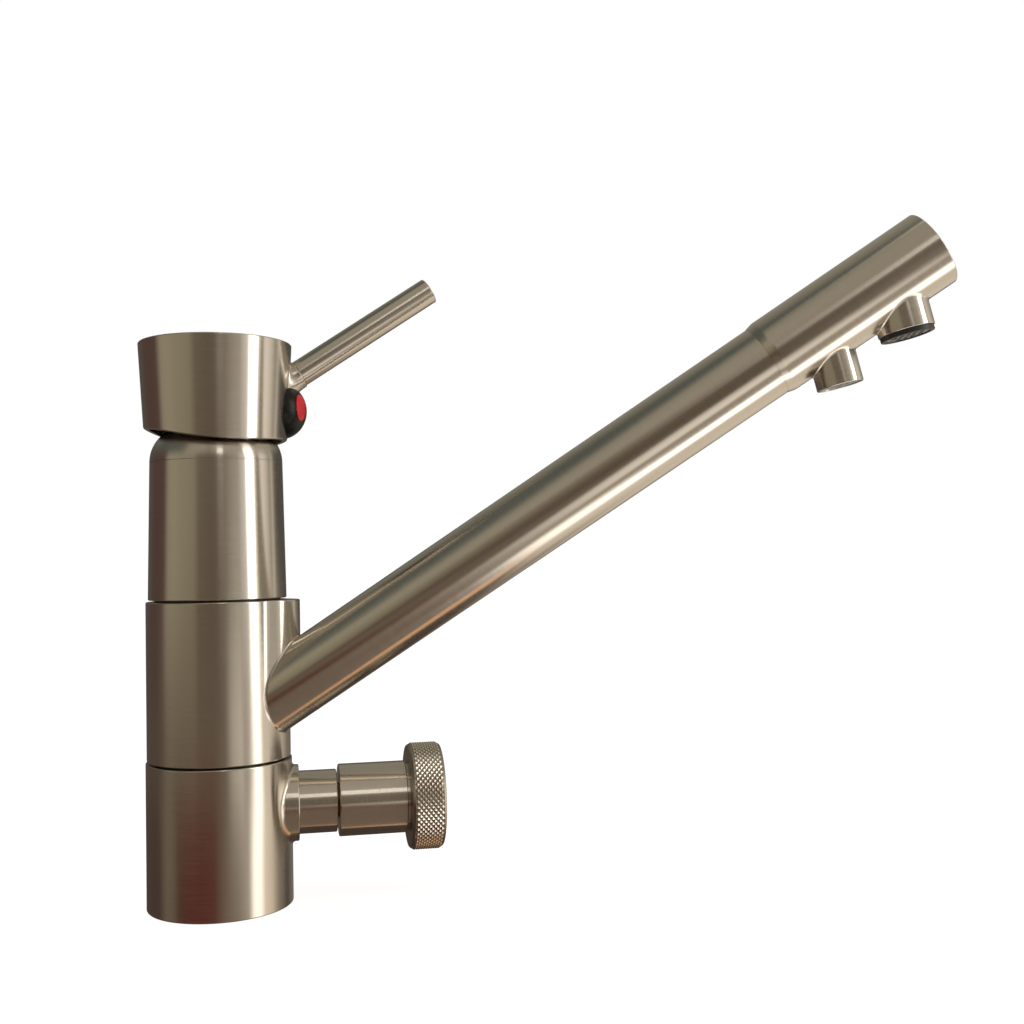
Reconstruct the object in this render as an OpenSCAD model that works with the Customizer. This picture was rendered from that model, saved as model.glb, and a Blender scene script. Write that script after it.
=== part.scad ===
// Three way filtered water tap: a single lever mixer with a swivelling twin
// channel spout and a separate quarter turn valve for the filtered water.
// Origin at the centre of the base's underside, +Z up, +X out of the valve.

/* [Base] */
// Diameter of the base
body_d = 50; // [49:0.5:56]
// Height of the base
base_h = 50.2; // [48:0.1:60]
// Bevel on every turned rim
rim_edge = 0.4; // [0.2:0.1:0.8]
// Diameter of the recess under the base
recess_d = 34; // [32:0.5:35]
// Depth of the recess under the base
recess_h = 12; // [8:0.5:13]
// Width of the metal rim outside the base gasket
gasket_inset = 2.2; // [1.5:0.1:2.6]
// Width of the base gasket
gasket_w = 3.4; // [2.5:0.1:4]
// Thickness of the base gasket
gasket_t = 2.4; // [1.5:0.1:3]

/* [Inlets] */
// Tapping radius of the three hose inlets
inlet_r = 4.5; // [4:0.1:4.8]
// Depth of the threads of the hose inlets
inlet_depth = 9; // [7:0.5:10]
// Distance of the hot and cold inlets in front of the axis
hose_x = 3; // [2:0.25:3.5]
// Distance of the hot and cold inlets to each side of the axis
hose_side = 10.5; // [10.3:0.05:10.8]
// Distance of the filtered inlet in front of the axis
filter_inlet_x = 4; // [3:0.25:4.5]
// Tapping radius of the fixing stud's hole
stud_r = 3.4; // [2.5:0.1:3.6]
// Depth of the fixing stud's hole
stud_depth = 10; // [8:0.5:12]
// Distance of the fixing stud behind the axis
stud_back = 12.4; // [11.5:0.1:13]
// Radius of the hot and cold waterways
water_r = 3.2; // [2.5:0.1:3.5]
// Radius of the mixed waterway
mixed_r = 4; // [3:0.1:4.2]
// Radius of the filtered waterways
filter_r = 2.5; // [2:0.1:2.8]

/* [Filter valve] */
// Distance of the valve's axis below the top of the base
valve_drop = 16.7; // [16.4:0.1:18]
// Diameter of the boss on the base
boss_d = 26.6; // [25:0.1:28]
// Distance to which the boss's face stands proud of the base
boss_proud = 2.2; // [1.5:0.1:4]
// Widening of the boss where it meets the base
boss_flare = 2.6; // [1:0.1:3]
// Radius of the threaded bore of the boss
valve_bore_r = 8.3; // [8:0.1:8.6]
// Depth of the threaded bore of the boss
valve_depth = 19; // [18:0.25:20]
// Radius of the ceramic discs of the valve
valve_disc_r = 6.2; // [5.5:0.1:6.5]
// Thickness of each ceramic disc of the valve
valve_disc_t = 2.5; // [2:0.1:3]
// Radius of the valve's spindle
spindle_r = 3.6; // [3:0.1:4]
// Diameter of the neck
neck_d = 22; // [20:0.1:24]
// Length of the neck
neck_len = 13.2; // [11:0.1:16]
// Diameter of the knob's sleeve
sleeve_d = 25.4; // [24:0.1:28]
// Length of the knob's sleeve
sleeve_len = 24.8; // [20:0.1:30]
// Diameter of the knurled wheel
wheel_d = 38; // [33:0.5:42]
// Width of the knurled wheel
wheel_w = 11.8; // [10:0.1:14]
// Diameter of the sleeve's spigot that carries the wheel
spigot_d = 17.8; // [15:0.1:19]
// Open joint between the neck and the sleeve
knob_gap = 0.7; // [0.5:0.1:1]

/* [Spout hub] */
// Step in from the base to the hub
hub_step = 0.4; // [0:0.1:0.8]
// Height of the hub
hub_h = 54.9; // [50:0.1:60]
// Open joint above and below the hub
hub_gap = 0.6; // [0.5:0.1:1]
// Diameter of the core that the hub turns on
core_d = 38; // [37:0.5:39]
// Diameter of the core's threaded ends
core_end_d = 34; // [33:0.5:35]
// Length of the core's threaded ends
core_end_h = 6.7; // [5:0.1:7]
// Depth of the water chambers turned into the core
chamber_depth = 2; // [1.5:0.1:2.5]
// Height of the filtered water chamber
filter_chamber_h = 9; // [7:0.5:10]
// Height of the mixed water chamber
mixed_chamber_h = 15; // [12:0.5:16]
// Land that is left between two neighbouring grooves of the core
core_land = 1.4; // [1:0.1:2]
// Section of the core's O-rings
core_ring_d = 1.9; // [1.5:0.1:2.2]
// Width of the glide rings
glide_w = 2.6; // [2:0.1:3.5]
// Thickness of the glide rings
glide_t = 2; // [1.5:0.1:3]

/* [Spout] */
// Swing of the spout, as it stands, from the valve's side
spout_swing = -19; // [-60:1:60]
// Rise of the spout above the level
spout_rise = 32.8; // [30:0.2:36]
// Height above the hub's lower end at which the spout's axis meets the body's
spout_cross_h = 8.3; // [7:0.1:10]
// Diameter of the spout's tube
spout_d = 25; // [24:0.1:26]
// Wall of the spout's tube
spout_wall = 1.2; // [1:0.1:1.5]
// Depth to which the tube is let into the hub
spout_let = 1; // [0.6:0.1:1.5]
// Distance of the head's lower end from the body's axis, along the spout
head_start = 228.5; // [180:0.5:260]
// Length of the head
head_len = 65; // [62:0.5:80]
// Diameter of the head
head_d = 26.5; // [26:0.1:28]
// Length of the cone at the head's lower end
head_cone = 2.2; // [1:0.1:3]
// Length of tube inside the head
head_lap = 8; // [6:0.5:9]
// Thickness of the disc that closes the head
end_disc_t = 2; // [1.5:0.1:3]
// Outer diameter of the filtered water tube
inner_tube_d = 6; // [5:0.1:6.5]
// Wall of the filtered water tube
inner_tube_wall = 1; // [0.8:0.1:1.2]
// Depth to which the filtered water tube is let into its elbow
elbow_let = 3; // [2:0.1:3.3]

/* [Outlets] */
// Lean of both outlets from the plumb line, outwards
outlet_lean = 13; // [8:0.5:18]
// Distance of the main outlet from the head's lower end
main_at = 49.1; // [47:0.1:52]
// Outer diameter of the main outlet
main_d = 18.4; // [17:0.1:19]
// Distance of the main outlet's mouth from the spout's axis
main_reach = 20.8; // [19:0.1:26]
// Distance of the filtered outlet from the head's lower end
filter_at = 22.4; // [20:0.1:24]
// Outer diameter of the filtered outlet
filter_d = 15.4; // [14:0.1:16]
// Distance of the filtered outlet's mouth from the spout's axis
filter_reach = 22; // [20:0.1:26]
// Wall of the outlets
outlet_wall = 1; // [0.8:0.1:1.3]
// Height of the aerator's rim
aerator_rim = 1.7; // [1:0.1:2.5]
// Height of the aerator above its rim
aerator_h = 4; // [3:0.1:4.5]
// Wall of the aerator
aerator_wall = 0.9; // [0.7:0.1:1.2]
// Thickness of the stream straighteners
grid_t = 1.6; // [1:0.1:2.5]
// Pitch of the straighteners' holes
grid_pitch = 2.2; // [2:0.1:3]

/* [Upper body] */
// Step in from the hub to the upper body
upper_step = 0.8; // [0.4:0.1:1.2]
// Narrowing of the upper body towards its head
upper_taper = 0.9; // [0.4:0.1:1.2]
// Height of the upper body
upper_h = 47.9; // [47:0.1:56]
// Thickness of the floor under the cartridge
web_h = 8; // [7:0.5:9]
// Height of the domed ring
dome_h = 9.4; // [9:0.1:9.6]
// Radius of the domed ring's bulge
dome_round = 13; // [12:0.25:16]
// Opening of the domed ring and of the nut
dome_mouth_d = 29.4; // [28.5:0.1:30]

/* [Cartridge] */
// Diameter of the cartridge
cart_d = 35; // [34:0.5:36]
// Wall of the cartridge's housing
cart_wall = 2.3; // [2:0.1:2.5]
// Thickness of the cartridge's base
cart_base_t = 3; // [2.5:0.1:4]
// Radius of the fixed ceramic disc
fixed_disc_r = 14; // [13:0.1:14.5]
// Radius of the ports of the fixed ceramic disc
port_r = 2.3; // [1.8:0.1:2.3]
// Distance of the hot and cold ports from the cartridge's axis
port_ring_r = 7; // [6.9:0.1:7.2]
// Turn of the hot and cold ports to each side of the front
port_turn = 40; // [38:1:42]
// Radius of the pocket under the moving ceramic disc
pocket_r = 5; // [4.7:0.1:5]
// Thickness of each ceramic disc of the cartridge
disc_t = 3; // [2.5:0.1:3.5]
// Height of the carrier on the moving disc
carrier_h = 4.8; // [4.5:0.1:5.5]
// Radius of the turning stem holder
turret_r = 12.1; // [11.6:0.1:12.3]
// Height of the turning stem holder
turret_h = 15.2; // [14:0.1:16]
// Height of the pivot above the stem holder's underside
pivot_h = 10.4; // [9:0.1:11]
// Radius of the pivot pin
pivot_r = 1.5; // [1.2:0.1:1.8]
// Width of the square stem
stem_w = 7.6; // [7:0.1:8]
// Radius of the round shank between the stem and its ball
shank_r = 1.9; // [1.5:0.1:1.9]
// Radius of the ball at the stem's lower end
ball_r = 2.4; // [2:0.1:2.5]
// Distance of the ball below the pivot
ball_drop = 12.6; // [12.2:0.1:12.8]
// Height of the nut that holds the cartridge down
nut_h = 7.8; // [6:0.1:8]
// Depth of the nut's thread below the head of the upper body
nut_depth = 9.1; // [8.5:0.1:10]
// Radius of the nut's thread
nut_r = 19.3; // [19:0.1:20]
// Radius of the nut's upper collar
nut_collar_r = 16.6; // [16:0.1:17]
// Height of the nut's upper collar
nut_collar_h = 4.4; // [3:0.1:5]

/* [Handle] */
// Step in from the base to the cap's lower edge
cap_step = 0.45; // [0.2:0.05:0.9]
// Widening of the cap towards its top
cap_widen = 2.05; // [1:0.05:2.6]
// Radius of the arc on which the cap's lower edge is cut
cap_arc_r = 98; // [85:1:130]
// Distance of the lowest point of that arc in front of the axis
cap_arc_x = 8; // [5:0.5:10]
// Height of the cap
cap_h = 35.6; // [34:0.1:40]
// Height of the cap's lower edge above the head of the upper body
cap_lift = 6.4; // [6:0.1:8]
// Wall of the cap
cap_wall = 2; // [1.5:0.1:2.4]
// Thickness of the cap's top
cap_top_t = 2.4; // [2:0.1:3.5]
// Diameter of the block inside the cap that grips the stem
block_d = 16; // [14.5:0.1:16.5]
// Height of the block's underside above the cap's lower edge
block_lift = 9.2; // [9:0.1:10]
// Room above the end of the stem
stem_room = 5.5; // [4:0.1:8]
// Rise of the lever above the level
lever_rise = 33.5; // [30:0.5:36]
// Height above the cap's lower edge at which the lever's axis meets the body's
lever_cross_h = 6.3; // [5.5:0.1:7]
// Diameter of the lever
lever_d = 9.5; // [8:0.1:10]
// Distance of the lever's tip from the body's axis, along the lever
lever_reach = 92; // [80:0.5:110]
// Distance of the lever's shoulder from the body's axis, along the lever
lever_shoulder = 35; // [34:0.1:37]
// Radius of the lever's threaded end
lever_stud_r = 2.9; // [2.5:0.1:3.2]
// Length of the lever's threaded end
lever_stud_len = 9; // [7:0.1:10]
// Widening of the lever's boss where it meets the cap
lever_boss_flare = 3.4; // [2:0.1:4]
// Radius of the grub screw
grub_r = 2; // [1.5:0.1:2.1]
// Length of the grub screw
grub_len = 4; // [3:0.1:4.2]
// Height of the grub screw above the block's underside
grub_lift = 2.9; // [2.6:0.1:3.2]

/* [Indicator] */
// Diameter of the indicator plug
plug_d = 20.2; // [19:0.1:21]
// Height of the plug's lower end above the cap's lower edge
plug_lift = 2.1; // [1.5:0.1:3]
// Distance to which the plug stands proud of the cap's lower edge
plug_proud = 7.2; // [5:0.1:8]
// Distance of the plug's widest ring inside the cap's lower edge
plug_sink = 2.2; // [2.1:0.05:2.6]
// Height of the hot and cold marks
mark_h = 9.4; // [6:0.1:10]
// Width of the hot and cold marks
mark_w = 5.6; // [3:0.1:6.5]
// Thickness of the hot and cold marks
mark_t = 0.6; // [0.4:0.1:1]
// Turn of each mark from the plug's middle
mark_turn = 50; // [40:1:54]
// Height of the marks' middle above the plug's
mark_lift = 0.6; // [0:0.1:1]

/* [Hidden] */
$fn = 96;
// Overrun of every through cut
cut = 0.5;
// Radial clearance of everything that turns
turn_gap = 0.05;
// Clearance between pieces that are fixed to each other
seat_gap = 0.03;
// Clearance between pieces of different bodies that pass each other
pass_gap = 0.35;
// Facets of rounded shapes that are hulled
round_facets = 28;

nickel = [0.66, 0.62, 0.56];
brass = [0.78, 0.66, 0.36];
ceramic = [0.93, 0.92, 0.88];
rubber = [0.12, 0.12, 0.12];
plastic = [0.85, 0.85, 0.82];
black = [0.05, 0.05, 0.05];
steel = [0.6, 0.6, 0.62];

body_r = body_d / 2;
recess_r = recess_d / 2;
core_r = core_d / 2;
core_end_r = core_end_d / 2;
hub_r = body_r - hub_step;
hub_z = base_h + hub_gap;
upper_z = hub_z + hub_h + hub_gap;
core_z = base_h - core_end_h;
core_h = upper_z + core_end_h - core_z;

upper_foot_r = hub_r - upper_step;
upper_head_r = upper_foot_r - upper_taper;

// Stations of the spout along its own axis
spout_r = spout_d / 2;
spout_in_r = spout_r - spout_wall;
head_r = head_d / 2;
head_in_r = spout_in_r - rim_edge;
head_end = head_start + head_len;
cross_z = hub_z + spout_cross_h;
main_s = head_start + main_at;
filter_s = head_start + filter_at;
main_r = main_d / 2;
filter_out_r = filter_d / 2;
seat_r = hub_r - spout_let;
// Angle between an outlet and the square to the spout's axis
outlet_skew = spout_rise - outlet_lean;
inner_r = inner_tube_d / 2;
inner_bore_r = inner_r - inner_tube_wall;
elbow_r = inner_tube_d;
// The filtered water tube lies on the floor of the head's bore
inner_drop = head_in_r - inner_r - seat_gap;
inner_foot_z = cross_z - inner_drop * cos(spout_rise)
  + (seat_r - inner_drop * sin(spout_rise)) * tan(spout_rise);
inner_end = filter_s - inner_drop * tan(outlet_skew) - elbow_r / cos(outlet_skew) + elbow_let;

// Grooves of the core, counted upwards: ring, filtered water, ring, mixed water, ring
groove_w = core_ring_d + rim_edge;
filter_port_z = inner_foot_z;
filter_chamber_z = filter_port_z - filter_chamber_h / 2;
groove1_z = filter_chamber_z - core_land - groove_w;
groove2_z = filter_chamber_z + filter_chamber_h + core_land;
mixed_chamber_z = groove2_z + groove_w + core_land;
groove3_z = mixed_chamber_z + mixed_chamber_h + core_land;
mixed_port_z = mixed_chamber_z + mixed_chamber_h / 2;
mixed_x = mixed_r + chamber_depth + 2 * core_ring_d - core_r;
filter_x = core_end_r - filter_r - 2 * core_land;

// Stations of the valve along its own axis
valve_z = base_h - valve_drop;
boss_reach = body_r + boss_proud;
seat_x = boss_reach - valve_depth;
housing_wall = valve_bore_r - valve_disc_r - seat_gap;
lip_t = valve_disc_t / 3;
fixed_x = seat_x + lip_t;
moving_x = fixed_x + valve_disc_t;
spindle_head_x = moving_x + valve_disc_t;
spindle_head_len = 2 * (filter_r + rim_edge);
window_x = spindle_head_x + spindle_head_len / 2;
waist_x = fixed_x + 2 * rim_edge;
housing_in_r = valve_disc_r + turn_gap;
housing_end_x = boss_reach + neck_len + 2 * valve_disc_t;
tail_r = spindle_r + housing_wall;
sleeve_x = boss_reach + neck_len + knob_gap;
wheel_x = sleeve_x + sleeve_len;
wheel_end_x = wheel_x + wheel_w;
spigot_r = spigot_d / 2;
spigot_end_x = wheel_end_x - wheel_w / 4;
spindle_end_x = wheel_x - wheel_w / 4;
socket_x = housing_end_x + pass_gap;
screw_r = spindle_r / 2;
screw_head_r = spindle_r;
screw_head_t = 2.9;
screw_len = 11.2;
screw_seat_x = spindle_end_x + rim_edge;

// Stations of the cartridge, upwards
web_z = upper_z + core_end_h;
cart_r = cart_d / 2;
cart_in_r = cart_r - cart_wall;
cart_z = web_z + web_h;
fixed_disc_z = cart_z + cart_base_t;
moving_disc_z = fixed_disc_z + disc_t;
carrier_z = moving_disc_z + disc_t;
turret_z = carrier_z + carrier_h + pass_gap;
turret_top_z = turret_z + turret_h;
pivot_z = turret_z + pivot_h;
ball_z = pivot_z - ball_drop;
upper_top_z = upper_z + upper_h;
nut_z = upper_top_z - nut_depth;
collar_r = dome_mouth_d / 2 - seat_gap;
// The lift of the handle, and how far it pushes the moving disc
lift_max = 25;
disc_travel = ball_drop * sin(lift_max);
disc_start = -disc_travel / 2;
moving_disc_r = cart_in_r - disc_travel / 2 - pass_gap;
pin_inset = 1;
// Hot, cold and mixed water where they enter the cartridge, and the ports they lead to
hose_places = [[hose_x, -hose_side], [hose_x, hose_side], [mixed_x, 0]];
port_places = [port_ring_r * [cos(port_turn), -sin(port_turn)],
  port_ring_r * [cos(port_turn), sin(port_turn)], [0, 0]];
seal_pocket_r = water_r + cart_wall / 2;
seal_pocket_h = cart_base_t / 2;

// Stations of the handle
cap_z = upper_top_z + cap_lift;
cap_top_z = cap_z + cap_h;
cap_foot_r = body_r - cap_step;
cap_top_r = cap_foot_r + cap_widen;
block_z = cap_z + block_lift;
block_r = block_d / 2;
stem_top_z = cap_top_z - cap_top_t - stem_room;
lever_z = cap_z + lever_cross_h;
lever_r = lever_d / 2;
lever_boss_r = lever_r + rim_edge;
lever_boss_root = 2.5;
lever_boss_len = lever_shoulder - cap_foot_r + lever_boss_root;
grub_z = block_z + grub_lift;
plug_r = plug_d / 2;
plug_z = cap_z + plug_lift + plug_r;

// A turned solid with both rims bevelled
module turned(r, h, edge = rim_edge) {
  rotate_extrude()
    polygon([[0, 0], [r - edge, 0], [r, edge], [r, h - edge], [r - edge, h], [0, h]]);
}

// A plain ring standing on its lower face
module ring(r_out, r_in, h) {
  difference() {
    cylinder(r = r_out, h = h);
    translate([0, 0, -cut]) cylinder(r = r_in, h = h + 2 * cut);
  }
}

// An O-ring centred on its own middle plane
module o_ring(r_out, section_d) {
  rotate_extrude()
    translate([r_out - section_d / 2, 0]) circle(d = section_d, $fn = 32);
}

module at_valve(x) {
  translate([x, 0, valve_z]) rotate([0, 90, 0]) children();
}

module at_spout(s) {
  rotate([0, 0, spout_swing])
    translate([0, 0, cross_z]) rotate([0, 90 - spout_rise, 0]) translate([0, 0, s]) children();
}

// Down along an outlet, starting at a point of the spout's axis
module at_outlet(s, drop) {
  rotate([0, 0, spout_swing])
    translate([s * cos(spout_rise), 0, cross_z + s * sin(spout_rise)])
      rotate([0, 180 - outlet_lean, 0]) translate([0, 0, drop]) children();
}

module at_lever(s) {
  translate([0, 0, lever_z]) rotate([0, 90 - lever_rise, 0]) translate([0, 0, s]) children();
}

// The hot and cold waterways, mirrored
module both_hoses() {
  for (side = [-1, 1]) translate([hose_x, side * hose_side, 0]) children();
}

module base_body() {
  color(nickel) difference() {
    union() {
      turned(body_r, base_h);
      at_valve(0) cylinder(d = boss_d, h = boss_reach);
      at_valve(boss_reach - rim_edge - 2 * boss_flare)
        cylinder(r1 = boss_d / 2 + boss_flare, r2 = boss_d / 2, h = 2 * boss_flare);
    }
    translate([0, 0, -cut]) cylinder(r = recess_r, h = recess_h + cut);
    translate([0, 0, -cut])
      ring(body_r - gasket_inset, body_r - gasket_inset - gasket_w, gasket_t + cut);
    translate([0, 0, core_z]) cylinder(r = core_end_r + seat_gap, h = core_end_h + cut);
    at_valve(seat_x) cylinder(r = valve_bore_r, h = valve_depth + cut);
    both_hoses() translate([0, 0, recess_h - cut]) cylinder(r = inlet_r, h = inlet_depth + cut);
    both_hoses() translate([0, 0, recess_h]) cylinder(r = water_r, h = base_h);
    translate([filter_inlet_x, 0, recess_h - cut]) cylinder(r = inlet_r, h = inlet_depth + cut);
    translate([filter_inlet_x, 0, recess_h]) cylinder(r = filter_r, h = valve_z - recess_h);
    at_valve(filter_inlet_x) cylinder(r = filter_r, h = seat_x - filter_inlet_x + cut);
    translate([filter_x, 0, valve_z]) cylinder(r = filter_r, h = base_h - valve_z);
    translate([-stud_back, 0, recess_h - cut]) cylinder(r = stud_r, h = stud_depth + cut);
  }
}

module base_gasket() {
  color(rubber)
    ring(body_r - gasket_inset - seat_gap, body_r - gasket_inset - gasket_w + seat_gap,
      gasket_t - seat_gap);
}

module groove(z, depth, h) {
  translate([0, 0, z]) ring(core_r + cut, core_r - depth, h);
}

module swivel_core() {
  color(brass) difference() {
    union() {
      translate([0, 0, base_h]) cylinder(r = core_r, h = upper_z - base_h);
      translate([0, 0, core_z]) turned(core_end_r, core_h);
    }
    for (z = [groove1_z, groove2_z, groove3_z]) groove(z, core_ring_d, groove_w);
    groove(filter_chamber_z, chamber_depth, filter_chamber_h);
    groove(mixed_chamber_z, chamber_depth, mixed_chamber_h);
    both_hoses() translate([0, 0, core_z - cut]) cylinder(r = water_r, h = core_h + 2 * cut);
    translate([filter_x, 0, core_z - cut]) cylinder(r = filter_r, h = filter_port_z - core_z + cut);
    translate([filter_x, 0, filter_port_z]) rotate([0, 90, 0]) cylinder(r = filter_r, h = core_r);
    translate([mixed_x, 0, mixed_port_z]) cylinder(r = mixed_r, h = core_h);
    translate([mixed_x, 0, mixed_port_z]) rotate([0, -90, 0]) cylinder(r = mixed_r, h = core_r);
  }
}

module core_o_rings() {
  color(rubber) for (z = [groove1_z, groove2_z, groove3_z])
    translate([0, 0, z + groove_w / 2]) o_ring(core_r, core_ring_d - seat_gap);
}

module lower_glide_ring() {
  color(plastic) translate([0, 0, base_h])
    ring(core_r + glide_w, core_r + turn_gap, glide_t);
}

module upper_glide_ring() {
  color(plastic) translate([0, 0, upper_z - glide_t])
    ring(core_r + glide_w, core_r + turn_gap, glide_t);
}

module upper_body() {
  color(nickel) difference() {
    translate([0, 0, upper_z]) rotate_extrude()
      polygon([[0, 0], [upper_foot_r - rim_edge, 0], [upper_foot_r, rim_edge],
        [upper_head_r, upper_h], [0, upper_h]]);
    translate([0, 0, upper_z - cut])
      cylinder(r = core_end_r + seat_gap, h = core_end_h + cut + seat_gap);
    both_hoses() translate([0, 0, upper_z]) cylinder(r = water_r, h = upper_h);
    translate([mixed_x, 0, upper_z]) cylinder(r = mixed_r, h = upper_h);
    translate([0, 0, cart_z]) cylinder(r = cart_r + seat_gap, h = upper_h);
    translate([0, 0, nut_z]) cylinder(r = nut_r + seat_gap, h = nut_depth + cut);
  }
}

// A level channel with round ends from one place to another
module channel(from, to, r, z, h) {
  way = to - from;
  for (place = [from, to]) translate([place.x, place.y, z]) cylinder(r = r, h = h);
  translate([from.x, from.y, z]) rotate([0, 0, atan2(way.y, way.x)])
    translate([0, rim_edge / 2 - r, 0]) cube([norm(way), 2 * r - rim_edge, h]);
}

module cartridge_base() {
  color(plastic) difference() {
    translate([0, 0, cart_z]) cylinder(r = cart_r - rim_edge, h = cart_base_t);
    for (place = hose_places) translate([place.x, place.y, cart_z - cut])
      cylinder(r = seal_pocket_r, h = seal_pocket_h + cut);
    for (i = [0:2])
      channel(hose_places[i], port_places[i], port_r, cart_z + seal_pocket_h - rim_edge, cart_base_t);
  }
}

module cartridge_seals() {
  section = cart_wall / 2 - 2 * seat_gap;
  color(rubber) for (place = hose_places)
    translate([place.x, place.y, cart_z + seal_pocket_h / 2])
      o_ring(seal_pocket_r - seat_gap, section);
}

module cartridge_housing() {
  housing_h = nut_z - fixed_disc_z;
  color(plastic) difference() {
    union() {
      translate([0, 0, fixed_disc_z]) cylinder(r = cart_r - rim_edge, h = housing_h - seat_gap);
      translate([0, 0, fixed_disc_z])
        cylinder(r = collar_r - seat_gap, h = turret_top_z - fixed_disc_z);
    }
    translate([0, 0, fixed_disc_z - cut])
      cylinder(r = cart_in_r, h = turret_z - fixed_disc_z + cut - seat_gap);
    translate([0, 0, fixed_disc_z]) cylinder(r = turret_r + turn_gap, h = upper_h);
  }
}

module fixed_disc() {
  color(ceramic) translate([0, 0, fixed_disc_z]) difference() {
    cylinder(r = fixed_disc_r, h = disc_t - seat_gap);
    for (place = port_places) translate([place.x, place.y, -cut])
      cylinder(r = port_r, h = disc_t + 2 * cut);
  }
}

module cartridge_nut() {
  color(brass) difference() {
    union() {
      translate([0, 0, nut_z]) cylinder(r = nut_r, h = nut_h);
      translate([0, 0, nut_z]) cylinder(r = nut_collar_r, h = nut_h + nut_collar_h);
    }
    translate([0, 0, nut_z - cut])
      cylinder(d = dome_mouth_d, h = nut_h + nut_collar_h + 2 * cut);
    for (turn = [0:60:120]) rotate([0, 0, turn])
      translate([-nut_r, -nut_collar_h / 2, nut_z + nut_h])
        cube([2 * nut_r, nut_collar_h, nut_collar_h + cut]);
  }
}

// The outside bulges as a circle's arc from the foot to the top
module domed_ring() {
  in_r = nut_collar_r + seat_gap;
  arc_steps = 12;
  arc_turn = asin(dome_h / dome_round);
  arc = [for (i = [0:arc_steps]) let (a = arc_turn * i / arc_steps)
    [upper_head_r - dome_round * (1 - cos(a)), dome_round * sin(a)]];
  color(nickel) translate([0, 0, upper_top_z]) rotate_extrude()
    polygon(concat([[in_r, 0]], arc, [[dome_mouth_d / 2, dome_h], [dome_mouth_d / 2, nut_collar_h],
      [in_r, nut_collar_h]]));
}

module moving_disc() {
  color(ceramic) translate([disc_start, 0, moving_disc_z]) difference() {
    cylinder(r = moving_disc_r, h = disc_t - seat_gap);
    translate([0, 0, -cut]) cylinder(r = pocket_r, h = disc_t / 2 + cut);
  }
}

module disc_carrier() {
  pocket = 2 * (ball_r + pass_gap);
  color(plastic) difference() {
    translate([disc_start, 0, carrier_z]) cylinder(r = moving_disc_r, h = carrier_h);
    translate([-pocket / 2, -pocket / 2, ball_z - ball_r - pass_gap / 2])
      cube([pocket, pocket, carrier_h]);
  }
}

module stem_holder() {
  slot_w = stem_w + 2 * pass_gap;
  slot_len = 2 * (turret_r - cart_wall);
  color(plastic) difference() {
    translate([0, 0, turret_z]) cylinder(r = turret_r, h = turret_h);
    translate([-slot_len / 2, -slot_w / 2, turret_z - cut])
      cube([slot_len, slot_w, turret_h + 2 * cut]);
    translate([0, 0, pivot_z]) rotate([90, 0, 0])
      cylinder(r = pivot_r + seat_gap, h = 4 * turret_r, center = true);
  }
}

module pivot_pin() {
  color(steel) translate([0, 0, pivot_z]) rotate([90, 0, 0])
    cylinder(r = pivot_r, h = 2 * (turret_r - pin_inset), center = true);
}

// A square bar with an eye for the pivot and a ball that pushes the disc
module cartridge_stem() {
  color(brass) difference() {
    union() {
      translate([-stem_w / 2, -stem_w / 2, pivot_z - stem_w / 2])
        cube([stem_w, stem_w, stem_top_z - pivot_z + stem_w / 2]);
      translate([0, 0, ball_z]) cylinder(r = shank_r, h = ball_drop);
      translate([0, 0, ball_z]) sphere(r = ball_r);
    }
    translate([0, 0, pivot_z]) rotate([90, 0, 0])
      cylinder(r = pivot_r + turn_gap, h = 2 * stem_w, center = true);
  }
}

function cap_r_at(z) = cap_foot_r + (cap_top_r - cap_foot_r) * (z - cap_z) / cap_h;

// A stretch of the cap's cone, drawn in by inset
module cap_cone(inset, z_from, z_to) {
  translate([0, 0, z_from])
    cylinder(r1 = cap_r_at(z_from) - inset, r2 = cap_r_at(z_to) - inset, h = z_to - z_from);
}

// Everything above the large arc that cuts the cap's lower edge
module above_cap_arc() {
  translate([cap_arc_x, 0, cap_z + cap_arc_r]) rotate([90, 0, 0])
    cylinder(r = cap_arc_r, h = 4 * cap_top_r, center = true);
}

module handle_cap() {
  wall_r = cap_foot_r - cap_wall;
  color(nickel) difference() {
    union() {
      difference() {
        union() {
          intersection() {
            cap_cone(0, cap_z - cut, cap_top_z - rim_edge);
            above_cap_arc();
          }
          translate([0, 0, cap_top_z - rim_edge])
            cylinder(r1 = cap_r_at(cap_top_z - rim_edge), r2 = cap_top_r - rim_edge, h = rim_edge);
          at_lever(lever_shoulder - lever_boss_len)
            cylinder(r1 = lever_boss_r + lever_boss_flare, r2 = lever_boss_r, h = lever_boss_len);
        }
        cap_cone(cap_wall, cap_z - 2 * cut, cap_top_z - cap_top_t);
      }
      translate([0, 0, block_z]) cylinder(r = block_r, h = cap_top_z - block_z - cap_top_t / 2);
      intersection() {
        cap_cone(cap_wall / 2, cap_z, cap_top_z - cap_top_t / 2);
        at_lever(lever_shoulder - lever_boss_len - cap_wall)
          cylinder(r = lever_boss_r, h = lever_boss_len);
      }
    }
    translate([-stem_w / 2 - seat_gap, -stem_w / 2 - seat_gap, block_z - cut])
      cube([stem_w + 2 * seat_gap, stem_w + 2 * seat_gap, stem_top_z - block_z + cut + seat_gap]);
    at_lever(lever_shoulder - lever_stud_len - seat_gap)
      cylinder(r = lever_stud_r + seat_gap, h = lever_stud_len + cut);
    translate([0, 0, grub_z]) rotate([0, 90, 0])
      cylinder(r = grub_r + seat_gap, h = wall_r + 2 * cap_wall);
  }
}

module lever_rod() {
  color(nickel) union() {
    at_lever(lever_shoulder + seat_gap)
      turned(lever_r, lever_reach - lever_shoulder - seat_gap, rim_edge);
    at_lever(lever_shoulder - lever_stud_len) cylinder(r = lever_stud_r, h = lever_stud_len + cut);
  }
}

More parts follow.
